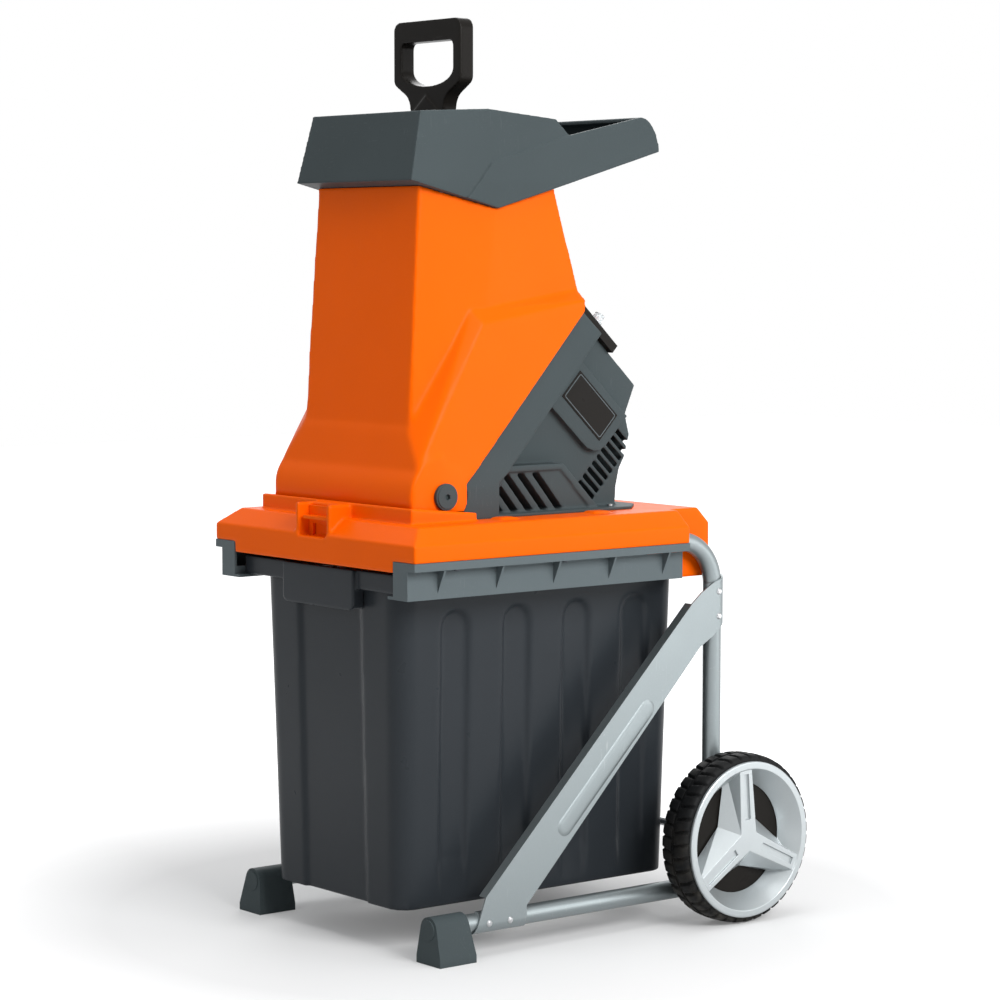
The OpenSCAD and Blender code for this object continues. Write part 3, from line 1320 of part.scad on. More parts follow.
module wheel_trim() color(BRIGHT) difference() {
    union() {
        turned_x([[dish_r, dish_x], [dish_r + 2.5, dish_x], [rim_r - 0.9, tyre_x1], [trim_r, tyre_x1],
            [trim_r, trim_x1 - 1], [trim_r - 1.5, trim_x1], [rim_r, trim_x1]]);
        intersection() {
            translate([0, axle_y, wheel_r]) spokes();
            turned_x([[0, dish_x - 1], [dish_r + 0.45, dish_x - 1], [rim_r + 1.2, trim_x1], [0, trim_x1]]);
        }
    }
    translate([0, axle_y, wheel_r]) for (a = [-26, 94, 214]) rotate([a, 0, 0])
        translate([trim_x1 - 5, 26, -4.5]) cube([10, rim_r - 33, 9]);
    rod_x(axle_y, wheel_r, hub_r + 1.5, dish_x - 1, axle_end_x + 1.5);
}

module right_wheel_trim() wheel_trim();
module left_wheel_trim() left_side() wheel_trim();

deck();
left_rail();
right_rail();
bin();
bin_lock();
interlock_switch();
tower_shell();
hopper();
hopper_screws();
pivot_bolts();
pusher_handle();
pusher_paddle();
pusher_screws();
motor_housing();
badge_plates();
switch_plate();
power_switch();
reset_button();
reset_cap();
inlet_socket();
tower_lock_knob();
lock_insert();
motor_plate();
gear_case();
spindle();
spindle_bearings();
spindle_gear();
cutter_disc();
blades();
blade_screws();
disc_bolt();
motor_stator();
motor_shaft();
rotor_core();
commutator();
cooling_fan();
pinion();
motor_bearings();
motor_bracket();
brush_holders();
left_frame_tube();
right_frame_tube();
left_brace();
right_brace();
brace_rivets();
left_foot();
right_foot();
axle();
axle_spacers();
axle_clips();
left_tyre();
right_tyre();
left_wheel_disc();
right_wheel_disc();
left_wheel_trim();
right_wheel_trim();
rail_screws();
housing_screws();
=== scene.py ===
"""Looks of an electric garden shredder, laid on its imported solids.

The scene is in metres. The pieces' sizes and points are in millimetres.
"""

import logging
import math
from dataclasses import dataclass
from enum import Enum
from typing import Callable, ClassVar, Dict, List, Optional, Sequence, Tuple

import bmesh
import bpy
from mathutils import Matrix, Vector


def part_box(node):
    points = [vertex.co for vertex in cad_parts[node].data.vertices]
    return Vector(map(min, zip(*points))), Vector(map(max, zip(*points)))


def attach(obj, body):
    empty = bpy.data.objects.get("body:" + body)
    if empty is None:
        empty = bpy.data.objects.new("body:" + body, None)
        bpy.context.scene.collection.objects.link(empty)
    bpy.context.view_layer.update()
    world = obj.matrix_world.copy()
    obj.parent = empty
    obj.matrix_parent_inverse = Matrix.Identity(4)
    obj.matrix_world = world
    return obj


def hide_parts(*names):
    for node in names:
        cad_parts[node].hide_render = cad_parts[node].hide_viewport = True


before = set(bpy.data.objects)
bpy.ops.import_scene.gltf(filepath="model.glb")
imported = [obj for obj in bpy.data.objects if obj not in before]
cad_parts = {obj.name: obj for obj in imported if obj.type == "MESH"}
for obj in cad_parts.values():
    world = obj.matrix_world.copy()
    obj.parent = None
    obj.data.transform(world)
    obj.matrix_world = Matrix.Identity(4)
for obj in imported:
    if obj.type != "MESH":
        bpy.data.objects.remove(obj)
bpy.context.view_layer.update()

LOG = logging.getLogger("shredder")
MM = 0.001
# Points closer than this, in metres, become one
MERGE = 2e-6
# Steps of a round outline, of a channel's end and of a line's corner
ROUND_STEPS = 24
END_STEPS = 12
CORNER_STEPS = 5
WHITE = (1.0, 1.0, 1.0, 1.0)
Point = Tuple[float, float, float]
Flat = Tuple[float, float]
Rgb = Tuple[float, float, float]
Rgba = Tuple[float, float, float, float]


def linear(colour: Rgb) -> Rgba:
    """Turns a screen colour into the linear one that shaders take.

    Args:
        colour: Red, green and blue from 0 to 255.

    Returns:
        The same colour as linear RGBA.
    """
    shares = [c / 255.0 for c in colour]
    curved = [s / 12.92 if s <= 0.04045 else ((s + 0.055) / 1.055) ** 2.4 for s in shares]
    return (curved[0], curved[1], curved[2], 1.0)


def clamp(value: float) -> float:
    """Holds a value between 0 and 1."""
    return min(1.0, max(0.0, value))


def arc(steps: int, turn: float, start: float = 0.0) -> List[Flat]:
    """Gives cosine and sine along an arc, with both ends.

    Args:
        steps: Number of equal steps.
        turn: Angle of the whole arc in radians.
        start: Angle at which it starts.

    Returns:
        One pair for each point.
    """
    angles = [start + turn * step / steps for step in range(steps + 1)]
    return [(math.cos(angle), math.sin(angle)) for angle in angles]


CIRCLE = arc(ROUND_STEPS, math.tau)[:-1]


class Side(Enum):
    """The six faces of a solid's box, each as its end and its axis."""

    LEFT = (0, 0)
    RIGHT = (1, 0)
    FRONT = (0, 1)
    BACK = (1, 1)
    FOOT = (0, 2)
    TOP = (1, 2)

    def of(self, node: str) -> float:
        """Gives where this face of a solid's box lies, in millimetres to a micron."""
        end, axis = self.value
        return round(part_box(node)[end][axis] / MM, 3)


class Cut(Enum):
    """What a tool does to a piece."""

    AWAY = "DIFFERENCE"
    JOIN = "UNION"
    KEEP = "INTERSECT"


class Effect(Enum):
    """The shader node groups that finishes share."""

    GRAIN = "moulded_grain"
    DRIFT = "colour_drift"
    SCUFF = "fine_scuffs"
    DUST = "ground_dust"


class Graph:
    """A node tree with short calls for adding and linking nodes."""

    def __init__(self, tree: bpy.types.NodeTree) -> None:
        """Keeps the tree that the calls add to."""
        self.tree = tree

    def node(self, kind: str, values: Optional[Dict] = None, **props: object) -> bpy.types.Node:
        """Adds one node.

        Args:
            kind: The node's Blender type name.
            values: Input name or index against a constant, or against an output socket to link.
            props: Settings of the node itself.

        Returns:
            The new node.
        """
        made = self.tree.nodes.new(kind)
        for key, value in props.items():
            setattr(made, key, value)
        for key, value in (values or {}).items():
            if isinstance(value, bpy.types.NodeSocket):
                self.tree.links.new(value, made.inputs[key])
            else:
                made.inputs[key].default_value = value
        return made

    def math(
        self, operation: str, a: object, b: object = 0.0, clamped: bool = False
    ) -> bpy.types.NodeSocket:
        """Adds a math node.

        Args:
            operation: Blender's name of the operation.
            a: First constant or socket.
            b: Second constant or socket.
            clamped: Whether the result is held between 0 and 1.

        Returns:
            The result's socket.
        """
        made = self.node("ShaderNodeMath", {0: a, 1: b}, operation=operation, use_clamp=clamped)
        return made.outputs[0]

    def ramp(self, value: bpy.types.NodeSocket, low: float, high: float) -> bpy.types.NodeSocket:
        """Adds a clamped range from low, which gives 0, to high, which gives 1."""
        return self.node("ShaderNodeMapRange", {0: value, 1: low, 2: high}).outputs[0]

    def noise(
        self, vector: bpy.types.NodeSocket, scale: float, detail: float = 2.0
    ) -> bpy.types.NodeSocket:
        """Adds a noise texture and gives its value socket."""
        made = self.node("ShaderNodeTexNoise", {"Vector": vector, "Scale": scale, "Detail": detail})
        return made.outputs[0]

    def mix(self, share: object, first: object, second: object) -> bpy.types.NodeSocket:
        """Adds a colour mix.

        Args:
            share: How much of the second colour shows.
            first: Colour or socket at share 0.
            second: Colour or socket at share 1.

        Returns:
            The mixed colour's socket.
        """
        return self.node("ShaderNodeMix", {0: share, 6: first, 7: second}, data_type="RGBA").outputs[2]


class EffectShelf:
    """Builds each shared node group once and hands it out.

    Attributes:
        PEBBLES: Share of the pebbles in the grain's height.
        SWELL: Scale of the softer swell among the pebbles.
        WIDE: Scale of the slow colour variation, per metre.
        FINE: Scale of the fine colour variation, per metre.
        WIDE_SHARE: Share of the slow variation.
        SWING: Gain of the colour variation.
        HAIRS: Scale and turn of each run of scratches.
        HAIR_EDGE: Noise levels between which a scratch fades in.
        PATCH: Scale of the patches that scratches gather in.
        PATCH_EDGE: Noise levels between which a patch fades in.
        SPOT: Scale of the dust spots.
        SPOT_EDGE: Noise levels between which a dust spot fades in.
    """

    PEBBLES: ClassVar[float] = 0.55
    SWELL: ClassVar[float] = 0.55
    WIDE: ClassVar[float] = 7.0
    FINE: ClassVar[float] = 420.0
    WIDE_SHARE: ClassVar[float] = 0.7
    SWING: ClassVar[float] = 4.0
    HAIRS: ClassVar[Tuple[Tuple[Point, Point], ...]] = (
        ((420.0, 420.0, 36.0), (0.5, 0.35, 0.2)),
        ((60.0, 380.0, 420.0), (-0.4, 0.35, 0.2)),
    )
    HAIR_EDGE: ClassVar[Flat] = (0.67, 0.76)
    PATCH: ClassVar[float] = 11.0
    PATCH_EDGE: ClassVar[Flat] = (0.48, 0.72)
    SPOT: ClassVar[float] = 75.0
    SPOT_EDGE: ClassVar[Flat] = (0.38, 0.72)

    def __init__(self) -> None:
        """Starts with no group made."""
        self._made: Dict[Effect, bpy.types.NodeTree] = {}

    def get(self, effect: Effect) -> bpy.types.NodeTree:
        """Gives the group of an effect, building it on the first call.

        Args:
            effect: Which effect is wanted.

        Returns:
            The effect's node group.
        """
        if effect not in self._made:
            makers = {
                Effect.GRAIN: self._grain,
                Effect.DRIFT: self._drift,
                Effect.SCUFF: self._scuff,
                Effect.DUST: self._dust,
            }
            self._made[effect] = makers[effect]()
        return self._made[effect]

    @staticmethod
    def _start(
        effect: Effect, numbers: Sequence[str], result: str, kind: str, coloured: bool = False
    ) -> Tuple[Graph, bpy.types.Node, bpy.types.Node]:
        """Opens a group with a vector input and named number inputs.

        Args:
            effect: The effect that the group is for.
            numbers: Names of its number inputs.
            result: Name of its output.
            kind: Socket type of its output.
            coloured: Whether it also takes a colour.

        Returns:
            The group's graph, its input node and its output node.
        """
        tree = bpy.data.node_groups.new(effect.value, "ShaderNodeTree")
        tree.interface.new_socket("Vector", in_out="INPUT", socket_type="NodeSocketVector")
        if coloured:
            tree.interface.new_socket("Color", in_out="INPUT", socket_type="NodeSocketColor")
        for name in numbers:
            tree.interface.new_socket(name, in_out="INPUT", socket_type="NodeSocketFloat")
        tree.interface.new_socket(result, in_out="OUTPUT", socket_type=kind)
        graph = Graph(tree)
        return graph, graph.node("NodeGroupInput"), graph.node("NodeGroupOutput")

    def _grain(self) -> bpy.types.NodeTree:
        """Builds the pebbled height of spark-eroded mould texture.

        Returns:
            The node group.
        """
        graph, given, out = self._start(Effect.GRAIN, ["Frequency"], "Height", "NodeSocketFloat")
        scaled = graph.node("ShaderNodeVectorMath", {0: given.outputs["Vector"]}, operation="SCALE")
        graph.tree.links.new(given.outputs["Frequency"], scaled.inputs["Scale"])
        place = scaled.outputs[0]
        pebble = graph.node("ShaderNodeTexVoronoi", {"Vector": place, "Scale": 1.0}, feature="SMOOTH_F1")
        soft = graph.noise(place, self.SWELL, detail=3.0)
        both = graph.math("ADD", graph.math("MULTIPLY", pebble.outputs[0], self.PEBBLES), soft)
        graph.tree.links.new(both, out.inputs["Height"])
        return graph.tree

    def _drift(self) -> bpy.types.NodeTree:
        """Builds the slow and fine variation of a moulded or painted colour.

        Returns:
            The node group.
        """
        graph, given, out = self._start(Effect.DRIFT, ["Amount"], "Color", "NodeSocketColor", coloured=True)
        place = given.outputs["Vector"]
        wide = graph.math("MULTIPLY", graph.noise(place, self.WIDE), self.WIDE_SHARE)
        fine = graph.math("MULTIPLY", graph.noise(place, self.FINE), 1.0 - self.WIDE_SHARE)
        centred = graph.math("SUBTRACT", graph.math("ADD", wide, fine), 0.5)
        swing = graph.math("MULTIPLY", centred, given.outputs["Amount"])
        level = graph.math("ADD", graph.math("MULTIPLY", swing, self.SWING), 1.0)
        shifted = graph.node("ShaderNodeHueSaturation", {"Value": level, "Color": given.outputs["Color"]})
        graph.tree.links.new(shifted.outputs[0], out.inputs["Color"])
        return graph.tree

    def _scuff(self) -> bpy.types.NodeTree:
        """Builds sparse hair scratches that gather in patches.

        Returns:
            The node group.
        """
        graph, given, out = self._start(Effect.SCUFF, ["Amount"], "Mask", "NodeSocketFloat")
        place = given.outputs["Vector"]
        lines = []
        for scale, turn in self.HAIRS:
            mapped = graph.node("ShaderNodeMapping", {"Vector": place, "Scale": scale, "Rotation": turn})
            lines.append(graph.ramp(graph.noise(mapped.outputs[0], scale=1.0, detail=1.0), *self.HAIR_EDGE))
        patch = graph.ramp(graph.noise(place, self.PATCH), *self.PATCH_EDGE)
        scratch = graph.math("MULTIPLY", graph.math("MAXIMUM", lines[0], lines[1]), patch)
        mask = graph.math("MULTIPLY", scratch, given.outputs["Amount"], clamped=True)
        graph.tree.links.new(mask, out.inputs["Mask"])
        return graph.tree

    def _dust(self) -> bpy.types.NodeTree:
        """Builds the fine dust that the lowest parts pick up from the ground.

        Returns:
            The node group.
        """
        graph, given, out = self._start(Effect.DUST, ["Reach", "Amount"], "Mask", "NodeSocketFloat")
        split = graph.node("ShaderNodeSeparateXYZ", {0: given.outputs["Vector"]})
        share = graph.math("DIVIDE", split.outputs[2], given.outputs["Reach"])
        low = graph.math("SUBTRACT", 1.0, share, clamped=True)
        spots = graph.ramp(graph.noise(given.outputs["Vector"], self.SPOT, detail=5.0), *self.SPOT_EDGE)
        dusty = graph.math("MULTIPLY", low, spots)
        mask = graph.math("MULTIPLY", dusty, given.outputs["Amount"], clamped=True)
        graph.tree.links.new(mask, out.inputs["Mask"])
        return graph.tree


SHELF = EffectShelf()


@dataclass(frozen=True)
class Finish:
    """One procedural surface finish.

    Attributes:
        slot: Name of the finish's material, under which it is built once and kept.
        colour: Base colour on screen, 0 to 255.
        rough: Mean roughness.
        metal: Metallic share.
        grain: Pebbles of the mould texture per metre.
        depth: Height of the texture in millimetres.
        drift: Share by which the colour varies.
        scuff: Strength of hair scratches.
        worn: Colour of a scratch on screen.
        dust: Strength of ground dust.
        coat: Weight of a clear coat.
        clear: Transmission weight.
        shine: Level of the plain mirror reflection.
        DUST_REACH: Height in metres up to which dust shows.
        DUST_COLOUR: Colour of dust on screen.
        CLOUD: Scale of the roughness's variation, per metre.
        CLOUD_SWING: Range of the roughness's variation.
        SCUFF_ROUGH: Roughness that a scratch adds.
        BUMP: Strength of the texture's bump.
        COAT_ROUGH: Roughness of a clear coat.
    """

    slot: str
    colour: Rgb
    rough: float
    metal: float = 0.0
    grain: float = 700.0
    depth: float = 0.05
    drift: float = 0.05
    scuff: float = 0.25
    worn: Rgb = (150, 150, 150)
    dust: float = 0.0
    coat: float = 0.0
    clear: float = 0.0
    shine: float = 0.5
    DUST_REACH: ClassVar[float] = 0.16
    DUST_COLOUR: ClassVar[Rgb] = (176, 168, 154)
    CLOUD: ClassVar[float] = 26.0
    CLOUD_SWING: ClassVar[float] = 0.12
    SCUFF_ROUGH: ClassVar[float] = 0.2
    BUMP: ClassVar[float] = 0.6
    COAT_ROUGH: ClassVar[float] = 0.25
    _cache: ClassVar[Dict[str, bpy.types.Material]] = {}

    def material(self) -> bpy.types.Material:
        """Gives the finish's material, building it on the first call.

        Returns:
            The material.
        """
        if self.slot not in self._cache:
            self._cache[self.slot] = self._build()
        return self._cache[self.slot]

    def _build(self) -> bpy.types.Material:
        """Builds the material's nodes.

        Returns:
            The material, with colour, roughness and bump from shared groups.
        """
        made = bpy.data.materials.new(self.slot)
        made.use_nodes = True
        graph = Graph(made.node_tree)
        shader = next(n for n in made.node_tree.nodes if n.type == "BSDF_PRINCIPLED")
        place = graph.node("ShaderNodeTexCoord").outputs["Object"]
        base = {"Vector": place, "Color": linear(self.colour), "Amount": self.drift}
        scuff = self._group(graph, Effect.SCUFF, {"Vector": place, "Amount": self.scuff})
        colour = graph.mix(scuff, self._group(graph, Effect.DRIFT, base), linear(self.worn))
        if self.dust > 0:
            fall = {"Vector": place, "Reach": self.DUST_REACH, "Amount": self.dust}
            colour = graph.mix(self._group(graph, Effect.DUST, fall), colour, linear(self.DUST_COLOUR))
        grain = self._group(graph, Effect.GRAIN, {"Vector": place, "Frequency": self.grain})
        cloud = graph.math("MULTIPLY", graph.noise(place, self.CLOUD, detail=3.0), self.CLOUD_SWING)
        rough = graph.math("ADD", cloud, self.rough - self.CLOUD_SWING / 2)
        rough = graph.math("ADD", rough, graph.math("MULTIPLY", scuff, self.SCUFF_ROUGH), clamped=True)
        relief = {"Height": grain, "Strength": self.BUMP, "Distance": self.depth * MM}
        bump = graph.node("ShaderNodeBump", relief)
        link = made.node_tree.links.new
        link(colour, shader.inputs["Base Color"])
        link(rough, shader.inputs["Roughness"])
        link(bump.outputs[0], shader.inputs["Normal"])
        shader.inputs["Metallic"].default_value = self.metal
        shader.inputs["Coat Weight"].default_value = self.coat
        shader.inputs["Coat Roughness"].default_value = self.COAT_ROUGH
        shader.inputs["Transmission Weight"].default_value = self.clear
        shader.inputs["Specular IOR Level"].default_value = self.shine
        made.diffuse_color = linear(self.colour)
        return made

    @staticmethod
    def _group(graph: Graph, effect: Effect, values: Dict) -> bpy.types.NodeSocket:
        """Adds one shared effect and gives its output socket."""
        return graph.node("ShaderNodeGroup", values, node_tree=SHELF.get(effect)).outputs[0]


ORANGE = Finish(
    "orange_shell", (243, 96, 0), 0.36,
    grain=900, depth=0.03, drift=0.03, scuff=0.06, worn=(255, 150, 60), shine=0.06,
)
GREY = Finish(
    "grey_shell", (66, 74, 76), 0.46,
    grain=620, depth=0.09, drift=0.06, scuff=0.2, worn=(108, 114, 116), shine=0.05,
)
RAIL = Finish(
    "rail_plastic", (89, 98, 101), 0.42,
    grain=700, depth=0.05, scuff=0.2, worn=(130, 136, 138), shine=0.1,
)
BIN = Finish(
    "bin_plastic", (44, 48, 52), 0.3,
    grain=800, depth=0.015, scuff=0.12, worn=(66, 71, 75), shine=0.1,
)
HANDLE = Finish(
    "handle_plastic", (28, 26, 24), 0.3,
    grain=600, depth=0.05, scuff=0.25, worn=(70, 67, 64), shine=0.06,
)
RED = Finish("red_control", (196, 28, 24), 0.35, depth=0.02, scuff=0.1, worn=(225, 90, 80))
CAP = Finish(
    "clear_cap", (235, 240, 242), 0.18,
    depth=0.01, drift=0.02, scuff=0.1, worn=(255, 255, 255), clear=0.6,
)
PAINT = Finish(
    "frame_paint", (134, 142, 144), 0.38, metal=0.75,
    grain=2200, depth=0.012, scuff=0.15, worn=(215, 218, 220), coat=0.1,
)
TRIM = Finish(
    "wheel_trim", (174, 180, 182), 0.33, metal=0.6,
    grain=2200, depth=0.005, scuff=0.02, worn=(220, 223, 225), coat=0.1,
)
TYRE = Finish(
    "tyre_rubber", (14, 15, 16), 0.55,
    grain=480, depth=0.12, drift=0.12, scuff=0.3, worn=(48, 48, 48), dust=0.1, shine=0.14,
)
STEEL = Finish(
    "bright_steel", (186, 188, 190), 0.28, metal=1.0,
    grain=1800, depth=0.01, scuff=0.4, worn=(225, 226, 228),
)
ALLOY = Finish(
    "cast_alloy", (150, 152, 155), 0.5, metal=0.9,
    grain=520, depth=0.1, scuff=0.2, worn=(190, 192, 194),
)
IRON = Finish(
    "core_iron", (72, 74, 80), 0.45, metal=0.8,
    grain=1500, depth=0.04, scuff=0.3, worn=(120, 122, 126),
)
COPPER = Finish(
    "copper", (186, 102, 58), 0.32, metal=1.0,
    grain=1200, depth=0.03, scuff=0.3, worn=(222, 150, 110),
)


@dataclass(frozen=True)
class Dressing:
    """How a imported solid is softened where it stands.

    Attributes:
        bevel: Width of the edge rounding in millimetres.
        steps: Segments of the rounding.
        angle: Smallest edge angle, in degrees, that is rounded.
        FLAT: Angle in degrees under which neighbouring faces become one.
        WEIGHT: Pull of large faces on the shading.
    """

    bevel: float = 0.8
    steps: int = 2
    angle: float = 28.0
    FLAT: ClassVar[float] = 0.6
    WEIGHT: ClassVar[int] = 80

    def put_on(self, node: str, finish: Finish) -> bpy.types.Object:
        """Softens a solid's edges and gives it a finish.

        Args:
            node: Name of the solid.
            finish: The finish that it wears.

        Returns:
            The solid's object.
        """
        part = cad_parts[node]
        part.data.materials.clear()
        part.data.materials.append(finish.material())
        normals = part.data.attributes.get("custom_normal")
        if normals is not None:
            part.data.attributes.remove(normals)
        part.data.shade_smooth()
        weld = part.modifiers.new("weld", "WELD")
        weld.merge_threshold = MERGE
        flat = part.modifiers.new("flat", "DECIMATE")
        flat.decimate_type = "DISSOLVE"
        flat.angle_limit = math.radians(self.FLAT)
        if self.bevel > 0:
            round_off = part.modifiers.new("round_off", "BEVEL")
            round_off.width = self.bevel * MM
            round_off.segments = self.steps
            round_off.limit_method = "ANGLE"
            round_off.angle_limit = math.radians(self.angle)
            round_off.use_clamp_overlap = True
        even = part.modifiers.new("even", "WEIGHTED_NORMAL")
        even.weight = self.WEIGHT
        return part


class Workshop:
    """Mesh calls that the pieces share. Points are in millimetres."""

    @staticmethod
    def keep(name: str, shape: bmesh.types.BMesh) -> bpy.types.Object:
        """Turns a working mesh into an object in the scene.

        Args:
            name: Name of the object.
            shape: The working mesh, which is freed.

        Returns:
            The new object.
        """
        bmesh.ops.recalc_face_normals(shape, faces=shape.faces)
        mesh = bpy.data.meshes.new(name)
        shape.to_mesh(mesh)
        shape.free()
        made = bpy.data.objects.new(name, mesh)
        bpy.context.scene.collection.objects.link(made)
        return made

    @staticmethod
    def copy_of(name: str, node: str) -> bpy.types.Object:
        """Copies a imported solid's mesh into an object of its own, with its seams closed.

        Args:
            name: Name of the object.
            node: Name of the solid.

        Returns:
            The new object.
        """
        shape = bmesh.new()
        shape.from_mesh(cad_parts[node].data)
        bmesh.ops.remove_doubles(shape, verts=shape.verts, dist=MERGE)
        return Workshop.keep(name, shape)

    @staticmethod
    def hull(points: Sequence[Point]) -> bpy.types.Object:
        """Wraps points in their convex hull.

        Args:
            points: Points in millimetres.

        Returns:
            A closed solid.
        """
        shape = bmesh.new()
        for point in points:
            shape.verts.new(Vector(point) * MM)
        found = bmesh.ops.convex_hull(shape, input=shape.verts)
        inside = found["geom_interior"] + found["geom_unused"]
        spare = {item for item in inside if isinstance(item, bmesh.types.BMVert)}
        bmesh.ops.delete(shape, geom=list(spare), context="VERTS")
        return Workshop.keep("hull", shape)

    @staticmethod
    def block(low: Point, high: Point) -> bpy.types.Object:
        """Makes a box between two corners."""
        xs, ys, zs = zip(low, high)
        return Workshop.hull([(x, y, z) for x in xs for y in ys for z in zs])

    @staticmethod
    def skin_loops(shape: bmesh.types.BMesh, loops: Sequence[Sequence[bmesh.types.BMVert]]) -> None:
        """Joins each loop of a working mesh to the next, and the last to the first.

        Args:
            shape: The working mesh.
            loops: Loops with the same number of points.
        """
        for here, there in zip(loops, [*loops[1:], loops[0]]):
            for i in range(len(here)):
                k = (i + 1) % len(here)
                shape.faces.new((here[i], here[k], there[k], there[i]))

    @staticmethod
    def bake(piece: bpy.types.Object) -> bpy.types.Object:
        """Turns a piece's modifiers into its mesh.

        Args:
            piece: The piece.

        Returns:
            The same piece.
        """
        graph = bpy.context.evaluated_depsgraph_get()
        mesh = bpy.data.meshes.new_from_object(piece.evaluated_get(graph))
        old = piece.data
        piece.modifiers.clear()
        piece.data = mesh
        bpy.data.meshes.remove(old)
        return piece

    @staticmethod
    def carve(
        piece: bpy.types.Object, tools: Sequence[bpy.types.Object], how: Cut = Cut.AWAY
    ) -> bpy.types.Object:
        """Works tools into a piece.

        Args:
            piece: The piece that is changed.
            tools: Closed meshes, which are used up.
            how: What the tools do.

        Returns:
            The changed piece.
        """
        for tool in tools:
            cut = piece.modifiers.new("carve", "BOOLEAN")
            cut.operation = how.value
            cut.solver = "EXACT"
            cut.object = tool
            Workshop.bake(piece)
            mesh = tool.data
            bpy.data.objects.remove(tool)
            bpy.data.meshes.remove(mesh)
        return piece

    @staticmethod
    def settle(
        piece: bpy.types.Object,
        finish: Finish,
        body: str,
        stands_for: Sequence[str] = (),
        angle: float = 38.0,
    ) -> bpy.types.Object:
        """Gives a piece its finish, its shading and the body that it rides on.

        Args:
            piece: The piece.
            finish: The finish that it wears.
            body: Name of the body.
            stands_for: Solids that the piece replaces.
            angle: Edges over this angle, in degrees, stay sharp.

        Returns:
            The piece.
        """
        piece.data.materials.clear()
        piece.data.materials.append(finish.material())
        piece.data.shade_smooth()
        piece.data.set_sharp_from_angle(angle=math.radians(angle))
        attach(piece, body)
        if stands_for:
            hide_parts(*stands_for)
        return piece


@dataclass(frozen=True)
class Melt:
    """Re-forms a solid's skin with the soft edges of a moulding.

    Attributes:
        voxel: Grid of the new skin in millimetres.
        passes: Rounds of smoothing.
        share: Share of the new skin's faces that is kept.
        FACTOR: Strength of one round of smoothing.
        LEVELS: Number of steps in which the smoothing fades.
    """

    voxel: float
    passes: int
    share: float = 0.15
    FACTOR: ClassVar[float] = 0.5
    LEVELS: ClassVar[int] = 10

    def form(
        self, piece: bpy.types.Object, soft: Optional[Callable[[Vector], float]] = None
    ) -> bpy.types.Object:
        """Remeshes, smooths and thins a piece.

        Args:
            piece: A closed piece.
            soft: Share of the smoothing at a place in metres; all of it where left out.

        Returns:
            The same piece with its new mesh.
        """
        skin = piece.modifiers.new("skin", "REMESH")
        skin.mode = "VOXEL"
        skin.voxel_size = self.voxel * MM
        Workshop.bake(piece)
        smooth = piece.modifiers.new("smooth", "SMOOTH")
        smooth.factor = self.FACTOR
        smooth.iterations = self.passes
        if soft is not None:
            group = piece.vertex_groups.new(name="soft")
            levels: Dict[int, List[int]] = {}
            for vertex in piece.data.vertices:
                levels.setdefault(round(self.LEVELS * soft(vertex.co)), []).append(vertex.index)
            for level, found in levels.items():
                group.add(found, level / self.LEVELS, "REPLACE")
            smooth.vertex_group = "soft"
        Workshop.bake(piece)
        piece.vertex_groups.clear()
        thin = piece.modifiers.new("thin", "DECIMATE")
        thin.decimate_type = "COLLAPSE"
        thin.ratio = self.share
        return Workshop.bake(piece)

    def make(self, node: str, finish: Finish, body: str) -> bpy.types.Object:
        """Replaces a solid by its softened copy.

        Args:
            node: Name of the solid.
            finish: The finish that the copy wears.
            body: Name of the body that it rides on.

        Returns:
            The new piece.
        """
        piece = self.form(Workshop.copy_of(node + "_skin", node))
        return Workshop.settle(piece, finish, body, [node])


@dataclass(frozen=True)
class Seam:
    """The slanted line on which the tower meets the motor housing.

    Attributes:
        foot: Y and Z of its lower end.
        lean: Its angle in degrees.
    """

    foot: Flat = (-177.0, 574.0)
    lean: float = 46.4

    def direction(self) -> Flat:
        """Gives the Y and Z of one step up the seam."""
        a = math.radians(self.lean)
        return (math.cos(a), math.sin(a))

    def spot(self, up: float, off: float) -> Flat:
        """Turns a distance up the seam and one off it, on the housing's side, into Y and Z."""
        c, s = self.direction()
        return (self.foot[0] + up * c + off * s, self.foot[1] + up * s - off * c)

    def measure(self, place: Vector) -> Flat:
        """Measures a point by the seam.

        Args:
            place: A point in metres.

        Returns:
            Its distance up the seam and off it, on the tower's side, in millimetres.
        """
        y, z = place.y / MM - self.foot[0], place.z / MM - self.foot[1]
        c, s = self.direction()
        return (y * c + z * s, z * c - y * s)


SEAM = Seam()


@dataclass
class SubAssembly:
    """A group of pieces that is built and dressed together."""

    title: ClassVar[str] = "pieces"

    def build(self) -> List[bpy.types.Object]:
        """Builds and dresses the group's pieces."""
        raise NotImplementedError

    @staticmethod
    def dress(
        nodes: Sequence[str], finish: Finish, bevel: float = 0.8, steps: int = 2
    ) -> List[bpy.types.Object]:
        """Dresses several solids alike.

        Args:
            nodes: Names of the solids.
            finish: The finish that they wear.
            bevel: Width of their edge rounding in millimetres.
            steps: Segments of the rounding.

        Returns:
            The dressed objects.
        """
        return [Dressing(bevel, steps).put_on(node, finish) for node in nodes]


@dataclass
class Deck(SubAssembly):
    """The orange deck with its rails, rail screws and latch."""

    title: ClassVar[str] = "deck"

    def build(self) -> List[bpy.types.Object]:
        """Dresses the deck, its two rails and the latch parts.

        Returns:
            The pieces.
        """
        made = [Melt(voxel=1.7, passes=9).make("deck", ORANGE, "frame")]
        made += self.dress(["left_rail", "right_rail"], RAIL, bevel=0.7)
        made += self.dress(["bin_lock"], ORANGE, bevel=0.8)
        made += self.dress(["interlock_switch"], HANDLE, bevel=0.5)
        made += self.dress(["rail_screws"], IRON, bevel=0.2)
        return made


